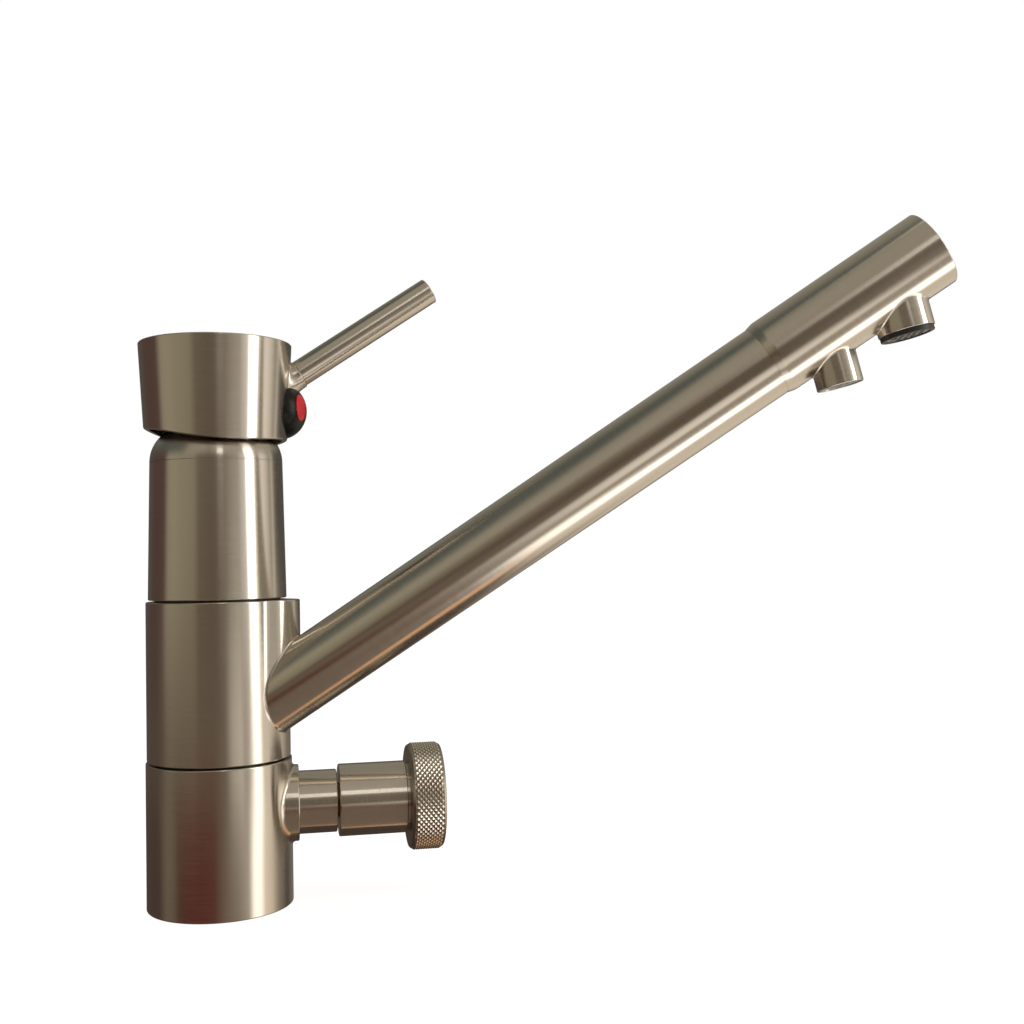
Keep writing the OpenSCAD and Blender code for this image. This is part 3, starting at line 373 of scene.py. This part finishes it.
nose_rows = [(hub_radius, nose_start - 2 + 2 * row) for row in range(9)]
hub = turned([(hub_bore, hub_foot, 0.3), (hub_radius, hub_foot, 0.4), *nose_rows,
              (hub_radius, hub_top, 0.4), (hub_bore, hub_top, 0.3)], 240)
for corner in hub.verts:
    out = math.hypot(corner.co.x, corner.co.y)
    if out > (hub_bore + hub_radius) / 2:
        turn = math.atan2(corner.co.y, corner.co.x) - math.radians(spout_swing)
        grown = hub_outside(turn, corner.co.z) - hub_radius
        corner.co.xy *= (out + grown) / out
set_down(hub, "spout_hub_sleeve", upright(0), nickel_upright, "spout", ["spout_hub"])


# Spout tube
# A drawn brass tube, 25 mm across with a 1.2 mm wall, let into the hub's side and soldered. The
# joint is dressed to a small hollow fillet, and the tube is brushed round and round and plated.
tube_radius, tube_wall = 12.5, 1.2
head_start, tube_in_head = 228.5, 8
tube_end = head_start + tube_in_head


def hub_wall(a, b):
    """How far along the spout's axis the hub's outside lies."""
    search_start, search_step = 50.0, 0.4
    lean, level = math.sin(math.radians(spout_rise)), math.cos(math.radians(spout_rise))

    def inside(reach):
        x = a * lean + reach * level
        height = cross_height - a * level + reach * lean
        return math.hypot(x, b) < hub_outside(math.atan2(b, x), height)

    near = search_start
    while not inside(near):
        near -= search_step
    far = near + search_step
    for _ in range(10):
        middle = (near + far) / 2
        near, far = (middle, far) if inside(middle) else (near, middle)
    return near


nickel_spout = brushed_nickel("brushed_nickel_round_the_spout", on_spout(0))
tube_rings = [(tube_radius, reach) for reach in (60, 120, 180, tube_end)]
tube = branch(tube_radius, hub_wall, 0.7, 0.8, [*tube_rings, (tube_radius - tube_wall, tube_end)],
              tube_radius - tube_wall, steps=160)
set_down(tube, "spout_pipe", on_spout(0), nickel_spout, "spout", ["spout_tube"])
white_plastic = moulded("white_plastic", (0.66, 0.66, 0.64), (0.78, 0.78, 0.76), 0.35, 1500, 0.08)
finish_nodes(["filtered_water_tube", "filtered_outlet_grid", "cartridge_base", "cartridge_housing",
              "disc_carrier", "stem_holder"], white_plastic)


# Spout head
# A thicker turned sleeve over the tube's end, with a short cone where it starts. A thin disc
# closes its far end, set back a little inside a fine rim.
head_radius, head_length, head_cone, head_overlap = 13.25, 65.0, 2.6, 8.1
disc_radius, disc_thickness, disc_ledge = 11.3, 2.0, 0.4
joint_gap = 0.03
disc_start = head_length - disc_thickness
head = turned([(tube_radius + joint_gap, 0), (tube_radius + 0.1, 0, 0.08), (head_radius, head_cone, 0.5),
               (head_radius, head_length, 0.4), (disc_radius + joint_gap, head_length, 0.15),
               (disc_radius + joint_gap, disc_start), (disc_radius - disc_ledge, disc_start),
               (disc_radius - disc_ledge, head_overlap), (tube_radius + joint_gap, head_overlap)])
set_down(head, "spout_head_sleeve", on_spout(head_start), nickel_spout, "spout", ["spout_head"])
end_disc = turned([(0, joint_gap), (disc_radius, joint_gap, 0.2), (disc_radius, disc_thickness, 0.25),
                   (0, disc_thickness)], closed=False)
set_down(end_disc, "spout_end_disc", on_spout(head_start + disc_start), nickel_spout, "spout",
         ["head_end_disc"])


# Outlets
# Two short tubes soldered under the head, for mixed water and for filtered water. Each is brushed
# round its own axis and has a finely rounded mouth.
outlet_lean, outlet_fillet = 13.0, 0.6
main_station, main_reach = 277.6, 19.1
# where it starts along the spout, radius, reach from the spout's axis and bore
outlets = {"main_outlet": (main_station, 9.2, main_reach, 8.2), "filtered_outlet": (250.9, 7.7, 22.0, 6.7)}


def on_outlet(station, drop):
    """A place on an outlet's axis, which starts on the spout's axis and points down and outwards."""
    rise = math.radians(spout_rise)
    start = (station * math.cos(rise), 0, cross_height + station * math.sin(rise))
    return (Matrix.Rotation(math.radians(spout_swing), 4, "Z") @ Matrix.Translation(start)
            @ Matrix.Rotation(math.radians(180 - outlet_lean), 4, "Y") @ Matrix.Translation((0, 0, drop)))


for name, (station, radius, reach, bore) in outlets.items():
    place = on_outlet(station, 0)
    underside = onto_cylinder(head_radius, outlet_lean - spout_rise)
    nozzle = branch(radius, underside, outlet_fillet, outlet_fillet, rim(radius, reach, 0.25, bore), bore,
                    steps=96)
    nickel_outlet = brushed_nickel("brushed_nickel_round_the_" + name, place)
    set_down(nozzle, name + "_pipe", place, nickel_outlet, "spout", [name])


# Aerator
# A black plastic insert that clips into the main outlet with a low rim below its mouth, holding a
# fine metal grid. The filtered outlet has a white straightener of the same pattern.
insert_radius, insert_bore, insert_depth = 8.17, 7.27, 4
insert_rim_radius, insert_rim_height = 8.8, 1.7
aerator = turned([(insert_radius, -insert_depth), (insert_radius, joint_gap),
                  (insert_rim_radius, joint_gap, 0.2), (insert_rim_radius, insert_rim_height, 0.3),
                  (insert_bore, insert_rim_height, 0.2), (insert_bore, -insert_depth)], 96)
set_down(aerator, "aerator_rim", on_outlet(main_station, main_reach), black_plastic, "spout",
         ["aerator_body"])
steel = moulded("bright_steel", (0.5, 0.5, 0.5), (0.62, 0.61, 0.6), 0.28, 900, 0.1, Metallic=1.0)
finish_nodes(["aerator_grid", "pivot_pin", "grub_screw", "knob_screw"], steel)


# Upper body and domed ring
# The fixed upper body holds the cartridge and narrows a little towards its head. A domed ring is
# screwed on top of it, with a hairline joint between the two.
upper_foot, upper_head, upper_bore = 106.3, 154.2, 19.33
upper_foot_radius, upper_head_radius = 23.8, 22.9
dome_foot, dome_inset, dome_rise, dome_turn = 154.25, 13, 12.95, 0.0535
ring_bore, ring_ledge, ring_opening = 16.63, 158.6, 14.7
upper_body = turned([(upper_bore, upper_foot, 0.2), (upper_foot_radius, upper_foot, 0.4),
                     (upper_head_radius, upper_head, 0.12), (upper_bore, upper_head, 0.1)])
set_down(upper_body, "upper_body_sleeve", upright(0), nickel_upright, "tap_body", ["upper_body"])
dome = [(upper_head_radius - dome_inset * (1 - math.cos(dome_turn * i)),
         dome_foot + dome_rise * math.sin(dome_turn * i)) for i in range(16)]
dome_top = dome[-1][1]
domed_ring = turned([(ring_bore, dome_foot), *dome, (ring_opening, dome_top, 0.25),
                     (ring_opening, ring_ledge), (ring_bore, ring_ledge)])
set_down(domed_ring, "domed_cover_ring", upright(0), nickel_upright, "tap_body", ["domed_ring"])


# Ceramic discs and brass stem
# White ceramic discs do the sealing in the cartridge and in the filter valve. The stem and the
# valve's housing and spindle are turned or milled brass.
ceramic = moulded("white_ceramic", (0.74, 0.73, 0.70), (0.82, 0.81, 0.78), 0.22, 1200, 0.05)
finish_nodes(["fixed_disc", "moving_disc", "valve_fixed_disc", "valve_moving_disc"], ceramic)
stem_brass = brushed_metal("milled_brass", upright(0), brass_dark, brass_light, 0.3, 0.3)
finish_nodes(["cartridge_stem"], stem_brass)
# the valve's brass shows only as a dark line in the knob's open joint, so it is a darker copy of the brass:
# painted shade for the joint
valve_brass = brushed_metal("turned_valve_brass", on_valve(0), (0.30, 0.19, 0.09), (0.42, 0.28, 0.14),
                            0.35, 0.6)
finish_nodes(["valve_housing", "valve_spindle"], valve_brass)


# Handle cap
# A heavy cast cap with a boss for the lever, turned outside to a slight upward flare and brushed.
# A block inside grips the stem, and the lower edge is milled on a wide arc, so that it clears the
# dome when lifted.
cap_foot, cap_height, cap_radius, cap_flare = 160.6, 35.6, 24.55, 2.05
cap_wall, cap_hollow, cap_ceiling = 2, 24.5, 2.4
cap_arc, cap_arc_middle, cap_arc_lift, cap_edge = 98.0, 8.0, 0.2, 2
block_radius, block_lift = 8, 9.2
lever_rise, lever_cross, lever_shoulder = 33.5, 166.9, 35.0
neck_radius, boss_flare, boss_length, least_flare_share = 5.15, 3.4, 12.25, 0.06
shoulder_edge = 0.3
cap_top = cap_foot + cap_height
block_foot = cap_foot + block_lift
ceiling = cap_top - cap_ceiling


def on_lever(reach):
    """A place on the lever's axis, at a distance from the body's axis."""
    return (Matrix.Translation((0, 0, lever_cross)) @ Matrix.Rotation(math.radians(90 - lever_rise), 4, "Y")
            @ Matrix.Translation((0, 0, reach)))


cap = turned([(0, block_foot), (block_radius, block_foot, 0.5), (block_radius, ceiling, 1.2),
              (cap_hollow, ceiling, 1.2), (cap_radius - cap_wall, cap_foot, 0.3),
              (cap_radius, cap_foot, 0.35), (cap_radius + cap_flare, cap_top, 0.45), (0, cap_top)],
             192, closed=False)
for corner in cap.verts:
    if corner.co.z < cap_foot + cap_edge:
        raised = cap_arc_lift + cap_arc - math.sqrt(cap_arc ** 2 - (corner.co.x - cap_arc_middle) ** 2)
        corner.co.z += raised
        corner.co.xy *= 1 + cap_flare * raised / cap_height / cap_radius
set_down(cap, "handle_cap_shell", upright(0), nickel_upright, "handle", ["handle_cap"])

nickel_lever = brushed_metal("brushed_nickel_round_the_lever", on_lever(0), nickel_dark, nickel_light,
                             0.24, 0.7)


def cap_wall_reach(a, b):
    """How far along the lever's axis the cap's flared wall lies."""
    lean, rise = math.cos(math.radians(lever_rise)), math.sin(math.radians(lever_rise))
    reach = lever_shoulder
    for _ in range(6):
        height = lever_cross - a * lean + reach * rise
        reach = onto_cylinder(cap_radius + cap_flare * (height - cap_foot) / cap_height, lever_rise)(a, b)
    return reach


def fairing_foot(way):
    """Radius at which the lever's boss runs into the cap, in one direction round it."""
    radius = neck_radius + boss_flare / 2
    for _ in range(12):
        reach = cap_wall_reach(way.x * radius, way.y * radius)
        share = (lever_shoulder - reach) / boss_length
        radius = neck_radius + boss_flare * min(1, max(least_flare_share, share))
    return radius


def fairing_point(co, t):
    """A point of the boss's hollow curve in a corner's direction: t is 0 at the cap, pi / 2 at the neck."""
    way = outwards(co, 1)
    out = neck_radius + (fairing_foot(way) - neck_radius) * (1 - math.sin(t))
    wall = cap_wall_reach(way.x * out, way.y * out)
    return outwards(co, out, wall + (lever_shoulder - shoulder_edge - wall) * (1 - math.cos(t)))


fairing_sink, fairing_turns = 1.0, 12
fairing = bmesh.new()
bmesh.ops.create_circle(fairing, cap_ends=False, radius=1, segments=96)
for corner in fairing.verts:
    spot = outwards(corner.co, fairing_foot(outwards(corner.co, 1)))
    corner.co = (spot.x, spot.y, cap_wall_reach(spot.x, spot.y) - fairing_sink)
edges = fairing.edges[:]
for i in range(fairing_turns + 1):
    t = math.radians(90) * i / fairing_turns
    edges = grow(fairing, edges, lambda co: fairing_point(co, t))
for inset, drop in ((0, 0.2), (0.1, 0.05), (0.25, 0)):
    edges = grow_ring(fairing, edges, neck_radius - inset, lever_shoulder - drop)
bmesh.ops.holes_fill(fairing, edges=fairing.edges[:], sides=0)
bmesh.ops.recalc_face_normals(fairing, faces=fairing.faces[:])
set_down(fairing, "lever_fairing", on_lever(0), nickel_lever, "handle", ["handle_cap"])


# Lever
# A solid turned rod, brushed round and round and screwed into the fairing. Its tip is cut square
# with a fine bevel.
lever_radius, lever_reach = 4.75, 92.0
tenon_radius, tenon_length = 2.9, 9
tenon_end = lever_shoulder - tenon_length
rod_start = lever_shoulder + joint_gap
lever = turned([(0, tenon_end), (tenon_radius, tenon_end, 0.3), (tenon_radius, rod_start),
                (lever_radius, rod_start, 0.25), (lever_radius, lever_reach, 0.4), (0, lever_reach)],
               96, closed=False)
set_down(lever, "handle_lever", on_lever(0), nickel_lever, "handle", ["lever_rod"])


# Indicator plug and marks
# A glossy black plastic pebble under the lever, pressed over the grub screw. A red oval on its
# left and a blue one on its right show the warm and the cold side.
plug_middle = (22.35, 0, 172.8)
plug_radii = (9.4, 10.1, 10.1)
plug_back = cap_radius - 1
plug = bmesh.new()
bmesh.ops.create_uvsphere(plug, u_segments=96, v_segments=64, radius=1)
bmesh.ops.transform(plug, verts=plug.verts[:], matrix=Matrix.Translation(plug_middle)
                    @ Matrix.Diagonal((*plug_radii, 1)) @ Matrix.Rotation(math.radians(90), 4, "Y"))
for corner in plug.verts:
    out = math.hypot(corner.co.x, corner.co.y)
    if out < plug_back:
        corner.co.xy *= plug_back / out
gloss_black = moulded("gloss_black_plastic", (0.004, 0.005, 0.004), (0.008, 0.009, 0.008), 0.3, 900, 0.02,
                      Specular_IOR_Level=0.25)
set_down(plug, "indicator_pebble", upright(0), gloss_black, "handle", ["indicator_plug"],
         80)
red_paint = moulded("red_mark", (0.74, 0.010, 0.016), (0.86, 0.016, 0.022), 0.3, 900, 0.02)
blue_paint = moulded("blue_mark", (0.010, 0.06, 0.55), (0.018, 0.10, 0.68), 0.2, 900, 0.03)
finish_nodes(["hot_mark"], red_paint)
finish_nodes(["cold_mark"], blue_paint)


# Neck collar
# A short brushed collar slipped over the tail of the filter valve and held against the boss. Its
# face is hollowed a little, so that its edge closes on the boss.
collar_bore, collar_radius, collar_start, collar_end = 5.9, 11, 27.3, 40.4
collar = turned([(collar_bore, collar_start + 0.05), (collar_radius - 0.3, collar_start - 0.05),
                 (collar_radius, collar_start), (collar_radius, collar_end, 0.35),
                 (collar_bore, collar_end, 0.3)], 128)
set_down(collar, "valve_neck_collar", on_valve(0), nickel_valve, "tap_body", ["neck_collar"])


# Knob sleeve and end cap
# The knob's smooth sleeve turns past the neck with a fine open joint. It has a narrow groove
# before the wheel, and a plain disc closes the knob's face over its screw.
sleeve_bore, sleeve_radius, sleeve_start, sleeve_end = 6.2, 12.7, 41.1, 64.9
sleeve_groove_radius, wheel_seat = 11.9, 65.87
spigot_radius, spigot_end = 8.9, 74.75
face_radius, face_start, face_end = 8.87, 74.78, 77.3
sleeve = turned([(sleeve_bore, sleeve_start, 0.2), (sleeve_radius, sleeve_start, 0.4),
                 (sleeve_radius, sleeve_end, 0.35), (sleeve_groove_radius, sleeve_end),
                 (sleeve_groove_radius, wheel_seat), (spigot_radius, wheel_seat),
                 (spigot_radius, spigot_end), (sleeve_bore, spigot_end)], 128)
set_down(sleeve, "knob_grip_sleeve", on_valve(0), nickel_valve, "filter_knob", ["knob_sleeve"])
end_cap = turned([(0, face_start), (face_radius, face_start, 0.2), (face_radius, face_end, 0.3),
                  (0, face_end)], 128, closed=False)
set_down(end_cap, "knob_face_disc", on_valve(0), nickel_valve, "filter_knob", ["knob_end_cap"])


# Knurled wheel
# A separate ring pressed on the sleeve's spigot. Two crossed rows of grooves were rolled into its
# rim, which leaves small pyramids that stand in slanting rows.
wheel_radius, wheel_bore, wheel_start, wheel_end = 19.0, 8.93, 65.9, 77.7
wheel_shoulder = wheel_radius - 1.0
# the last number is how far below the tips the painted groove shade ends
knurl_depth, knurl_margin, unshaded_tip_depth = 0.5, 0.8, 0.2
knurl_rows, knurl_count = 12, 112
groove_radius = wheel_radius - knurl_depth
knurl_start = wheel_start + knurl_margin
row_step = (wheel_end - wheel_start - 2 * knurl_margin) / knurl_rows
knurl = [(groove_radius, knurl_start + row * row_step) for row in range(knurl_rows + 1)]
wheel = turned([(wheel_bore, wheel_start, 0.2), (wheel_shoulder, wheel_start, 0.2), *knurl,
                (wheel_shoulder, wheel_end, 0.2), (wheel_bore, wheel_end, 0.2)], knurl_count)
knurl_corners, low_corners = set(), set()
for corner in wheel.verts:
    row = (corner.co.z - knurl_start) / row_step
    out = math.hypot(corner.co.x, corner.co.y)
    if abs(row - round(row)) < 0.01 and abs(out - groove_radius) < 0.01:
        place_round = round(math.atan2(corner.co.y, corner.co.x) / math.tau * knurl_count)
        if (place_round + round(row)) % 2:
            low_corners.add(corner)
        elif 0 < round(row) < knurl_rows:
            corner.co.xy *= wheel_radius / out
        knurl_corners.add(corner)
for face in wheel.faces[:]:
    lows = [corner for corner in face.verts if corner in low_corners]
    if len(lows) == 2 and all(corner in knurl_corners for corner in face.verts):
        bmesh.utils.face_split(face, *lows)

# painted shade: the grooves of the knurl are darker than its tips, by their distance from the valve's axis
# painted light: the wheel's nickel is a lighter copy of the plating elsewhere, which brightens the whole
# wheel
knurled_nickel = brushed_metal("knurled_nickel", on_valve(0), (0.72, 0.67, 0.59), (0.82, 0.77, 0.69),
                               0.3, 0.0)
tree = knurled_nickel.node_tree
plain_colour = tree.nodes["Principled BSDF"].inputs["Base Color"]
_, y, z = add(tree, "ShaderNodeSeparateXYZ", _0=add(tree, "ShaderNodeTexCoord").outputs["Object"]).outputs
over_axis = maths(tree, "SUBTRACT", z, valve_height * millimetre)
from_axis = vector_maths(tree, "LENGTH", add(tree, "ShaderNodeCombineXYZ", _0=y, _1=over_axis).outputs[0])
groove_shade_fade = add(tree, "ShaderNodeMapRange", Value=from_axis, From_Min=groove_radius * millimetre,
           From_Max=(wheel_radius - unshaded_tip_depth) * millimetre)
plating_colour = plain_colour.links[0].from_socket
# the dark brown-grey is painted shade in the grooves, which fades out towards the tips
with_painted_groove_shade = mixed_colour(tree, groove_shade_fade.outputs[0], (0.42, 0.38, 0.32, 1), plating_colour)
tree.links.new(with_painted_groove_shade, plain_colour)
set_down(wheel, "knob_knurled_wheel", on_valve(0), knurled_nickel, "filter_knob", ["knurled_wheel"],
         18)


# Studio
# A pale floor and a white world, a tall softbox on the right, a broad lamp and a strip overhead, a
# strip in front, and toned cards round and under the tap for the bands that show in the brushed
# metal. Directions are in degrees to the right of the camera, and lengths in metres.
camera_azimuth = -88
eye = Vector((0.01597, -0.44451, 0.11936))
forward = Vector((0.19924, 0.97928, 0.03599)).normalized()
level_right = Vector((0.97992, -0.19937, 0)).normalized()
level_up = level_right.cross(forward)
roll = -0.019
right = level_right * math.cos(roll) + level_up * math.sin(roll)
up = level_up * math.cos(roll) - level_right * math.sin(roll)
camera = bpy.data.objects.new("camera", bpy.data.cameras.new("camera"))
bpy.context.scene.collection.objects.link(camera)
camera.matrix_world = Matrix.Translation(eye) @ Matrix((right, up, -forward)).transposed().to_4x4()
camera.data.sensor_width = 36
camera.data.lens = 43.01
camera.data.clip_start = 0.01
bpy.context.scene.camera = camera
bpy.context.scene.view_settings.view_transform = "Standard"


def looked_at(tree):
    """1 where the camera, a mirror or glass looks at a surface, and 0 where it only lights others."""
    path = add(tree, "ShaderNodeLightPath").outputs
    seen = maths(tree, "MAXIMUM", path["Is Camera Ray"], path["Is Glossy Ray"])
    return maths(tree, "MAXIMUM", seen, path["Is Transmission Ray"])


# the world: white where the camera or the metal looks past everything, soft grey light otherwise
world = bpy.data.worlds.new("studio_world")
bpy.context.scene.world = world
world.use_nodes = True
sky = world.node_tree
sky.nodes.clear()
soft = add(sky, "ShaderNodeBackground", Color=(1, 1, 1, 1), Strength=0.55)
white = add(sky, "ShaderNodeBackground", Color=(1, 1, 1, 1), Strength=1.0)
pick = add(sky, "ShaderNodeMixShader", _0=looked_at(sky), _1=soft.outputs[0], _2=white.outputs[0])
add(sky, "ShaderNodeOutputWorld", Surface=pick.outputs[0])


def stage_object(name, bm, material, **rays):
    """A floor or a card, which isn't part of the tap."""
    material.cycles.emission_sampling = "NONE"
    mesh = bpy.data.meshes.new(name)
    bm.to_mesh(mesh)
    bm.free()
    mesh.materials.append(material)
    card = bpy.data.objects.new(name, mesh)
    bpy.context.scene.collection.objects.link(card)
    for ray, on in rays.items():
        setattr(card, "visible_" + ray, on)


# the floor: white to the eye, and it still takes the tap's soft shadow; the metal looks through
# it to the toned cards
floor_material, tree = empty_material("pale_floor")
matt = add(tree, "ShaderNodeBsdfDiffuse", Color=(0.42, 0.41, 0.40, 1))
glow_level = maths(tree, "MULTIPLY", looked_at(tree), 0.82)
glow = add(tree, "ShaderNodeEmission", Color=(1, 1, 1, 1), Strength=glow_level)
both = add(tree, "ShaderNodeAddShader", _0=matt.outputs[0], _1=glow.outputs[0])
add(tree, "ShaderNodeOutputMaterial", Surface=both.outputs[0])
floor = bmesh.new()
bmesh.ops.create_grid(floor, x_segments=1, y_segments=1, size=12)
stage_object("floor", floor, floor_material, glossy=False)


def tone_ramp(tree, share, stops):
    """Tones that change round the studio; stops are (degrees right of the camera, colour)."""
    ramp = add(tree, "ShaderNodeValToRGB", _0=share)
    points = ramp.color_ramp.elements
    while len(points) < len(stops):
        points.new(0.5)
    for point, (degrees, colour) in zip(points, stops):
        point.position = degrees / 360 + 0.5
        point.color = (*colour, 1)
    return ramp.outputs[0]


def card_material(name, near, far, flat, span):
    """Two sets of tones, one after the other over a span of the distance outwards, or of the height."""
    material, tree = empty_material(name)
    coordinates = add(tree, "ShaderNodeTexCoord").outputs["Object"]
    turned_way = add(tree, "ShaderNodeMapping", Vector=coordinates,
                     Rotation=Euler((0, 0, math.radians(-camera_azimuth))))
    share = add(tree, "ShaderNodeTexGradient", {"gradient_type": "RADIAL"},
                Vector=turned_way.outputs[0]).outputs[1]
    if flat:
        measure = vector_maths(tree, "LENGTH", coordinates)
    else:
        measure = add(tree, "ShaderNodeSeparateXYZ", _0=coordinates).outputs[2]
    over = add(tree, "ShaderNodeMapRange", Value=measure, From_Min=span[0], From_Max=span[1])
    colour = mixed_colour(tree, over.outputs[0], tone_ramp(tree, share, near), tone_ramp(tree, share, far))
    light = add(tree, "ShaderNodeEmission", Color=colour, Strength=1.0)
    add(tree, "ShaderNodeOutputMaterial", Surface=light.outputs[0])
    return material


def toned_card(name, rings, near, far, span, flat=False):
    """A round card that only the metal sees. rings are (radius, height); a flat card keeps its hole."""
    (radius, height), *others = rings
    card = bmesh.new()
    bmesh.ops.create_circle(card, cap_ends=False, radius=radius, segments=96,
                            matrix=Matrix.Translation((0, 0, height)))
    edges = card.edges[:]
    for radius, height in others:
        edges = grow_ring(card, edges, radius, height)
    if not flat:
        bmesh.ops.holes_fill(card, edges=edges, sides=0)
    stage_object(name, card, card_material(name + "_tones", near, far, flat, span),
                 camera=False, shadow=False, diffuse=False)


# the room: walls with a roof, a table top with a round hole under the tap, and a bowl below it
# that stands for the table seen at a low angle
room_radius, table_split, table_hole, table_height = 1.4, 0.5, 0.17, 0.0003
wall_tones = [(-180, (0.10, 0.09, 0.08)), (-140, (0.10, 0.09, 0.08)), (-132, (0.11, 0.07, 0.06)),
              (-99, (0.12, 0.07, 0.06)), (-88, (0.42, 0.37, 0.29)), (-76, (0.44, 0.40, 0.29)),
              (-40, (0.34, 0.31, 0.22)), (-30, (0.17, 0.14, 0.10)), (0, (0.13, 0.10, 0.075)),
              (10, (0.20, 0.17, 0.13)), (22, (0.34, 0.31, 0.25)), (36, (0.48, 0.44, 0.38)),
              (41, (0.8, 0.76, 0.70)), (64, (1.0, 0.97, 0.9)), (69, (0.66, 0.62, 0.56)),
              (77, (1.15, 1.06, 0.95)), (84, (1.1, 1.0, 0.88)), (91, (0.85, 0.79, 0.69)),
              (97, (0.60, 0.55, 0.46)), (103, (0.34, 0.31, 0.25)), (106, (0.6, 0.56, 0.49)),
              (110, (0.6, 0.56, 0.49)), (114, (0.22, 0.20, 0.16)), (122, (0.10, 0.09, 0.08)),
              (180, (0.10, 0.09, 0.08))]
roof_tones = [(-180, (0.30, 0.28, 0.23)), (-150, (0.20, 0.20, 0.17)), (-125, (0.13, 0.14, 0.12)),
              (-85, (0.12, 0.13, 0.12)), (-66, (0.16, 0.165, 0.14)), (-54, (0.38, 0.35, 0.28)),
              (-26, (0.44, 0.40, 0.33)), (-14, (0.34, 0.30, 0.24)), (-4, (0.46, 0.42, 0.35)),
              (50, (0.50, 0.46, 0.38)), (120, (0.42, 0.39, 0.32)), (180, (0.30, 0.28, 0.23))]
near_tones = [(-180, (0.08, 0.06, 0.05)), (-108, (0.09, 0.06, 0.05)), (-92, (0.20, 0.16, 0.12)),
              (-78, (0.18, 0.14, 0.10)), (-66, (0.10, 0.030, 0.022)), (-44, (0.11, 0.002, 0.002)),
              (-10, (0.11, 0.004, 0.003)), (4, (0.18, 0.12, 0.09)), (26, (0.34, 0.29, 0.23)),
              (44, (0.60, 0.54, 0.46)), (52, (2.2, 2.1, 1.95)), (64, (2.2, 2.1, 1.95)),
              (72, (1.1, 1.0, 0.88)), (87, (0.85, 0.76, 0.64)), (102, (0.36, 0.31, 0.25)),
              (126, (0.10, 0.08, 0.065)), (150, (0.22, 0.20, 0.17)), (180, (0.16, 0.13, 0.11))]
middle_tones = [(-180, (0.09, 0.07, 0.06)), (-66, (0.15, 0.12, 0.09)), (-30, (0.19, 0.16, 0.12)),
                (9, (0.20, 0.165, 0.125)), (20, (0.95, 0.88, 0.78)), (33, (1.15, 1.07, 0.96)),
                (40, (0.40, 0.34, 0.28)), (53, (0.40, 0.34, 0.28)), (58, (2.6, 2.5, 2.3)),
                (66, (2.6, 2.5, 2.3)), (71, (0.85, 0.76, 0.64)), (100, (0.90, 0.80, 0.66)),
                (118, (0.75, 0.66, 0.54)), (134, (0.30, 0.25, 0.20)), (180, (0.09, 0.07, 0.06))]
far_tones = [(-180, (0.09, 0.07, 0.06)), (-112, (0.09, 0.06, 0.05)), (-96, (0.26, 0.22, 0.17)),
             (-66, (0.22, 0.17, 0.13)), (-46, (0.16, 0.10, 0.08)), (-30, (0.12, 0.07, 0.055)),
             (0, (0.10, 0.07, 0.055)), (14, (0.12, 0.095, 0.07)), (36, (0.34, 0.29, 0.24)),
             (53, (0.42, 0.37, 0.30)), (58, (2.6, 2.5, 2.3)), (66, (2.6, 2.5, 2.3)),
             (71, (0.8, 0.72, 0.6)), (100, (0.85, 0.77, 0.65)), (116, (0.95, 0.85, 0.72)),
             (128, (0.60, 0.53, 0.44)), (146, (0.10, 0.08, 0.07)), (180, (0.09, 0.07, 0.06))]
deep_tones = [(-180, (0.07, 0.055, 0.045)), (-60, (0.08, 0.06, 0.05)), (-20, (0.20, 0.15, 0.115)),
              (62, (0.24, 0.18, 0.14)), (74, (0.9, 0.54, 0.31)), (92, (1.0, 0.60, 0.34)),
              (99, (0.10, 0.07, 0.055)), (180, (0.07, 0.055, 0.045))]
room_rings = [(room_radius, table_height), (room_radius, 0.9), (1.25, 1.2), (0.9, 1.5), (0.4, 1.6)]
toned_card("toned_cards", room_rings, wall_tones, roof_tones, (0.45, 0.8))
toned_card("near_table", [(table_hole, table_height), (table_split, table_height)],
           near_tones, middle_tones, (0.20, 0.29), flat=True)
toned_card("far_table", [(table_split, table_height), (room_radius, table_height)],
           middle_tones, far_tones, (0.58, 0.8), flat=True)
toned_card("bowl_card", [(room_radius, table_height), (room_radius, -0.9)],
           deep_tones, near_tones, (-0.7, -0.45))


def area_light(name, degrees, distance, height, width, tall, level, colour):
    """A lamp at so many degrees to the right of the camera, aimed at the tap; level is its radiance."""
    lamp = bpy.data.lights.new(name, "AREA")
    lamp.shape = "RECTANGLE"
    lamp.size, lamp.size_y = width, tall
    lamp.energy = level * math.pi * width * tall
    lamp.color = colour
    holder = bpy.data.objects.new(name, lamp)
    bpy.context.scene.collection.objects.link(holder)
    way = math.radians(degrees + camera_azimuth)
    spot = Vector((math.cos(way) * distance, math.sin(way) * distance, height))
    aim = Vector((0, 0, 0.12))
    holder.location = spot
    holder.rotation_mode = "QUATERNION"
    holder.rotation_quaternion = (spot - aim).to_track_quat("Z", "Y")
    holder.visible_camera = False
    return holder


area_light("softbox", 58, 1.2, 0.45, 0.34, 0.95, 2.6, (1.0, 0.985, 0.96))
area_light("overhead", 0, 0.2, 1.35, 0.9, 0.9, 0.9, (1.0, 0.99, 0.96)).visible_glossy = False
area_light("ceiling_strip", 43, 0.17, 1.3, 0.2, 0.07, 2.6, (1.0, 0.97, 0.9))
area_light("front_strip", 6, 1.2, 0.76, 0.22, 0.3, 2.0, (1.0, 0.98, 0.94))
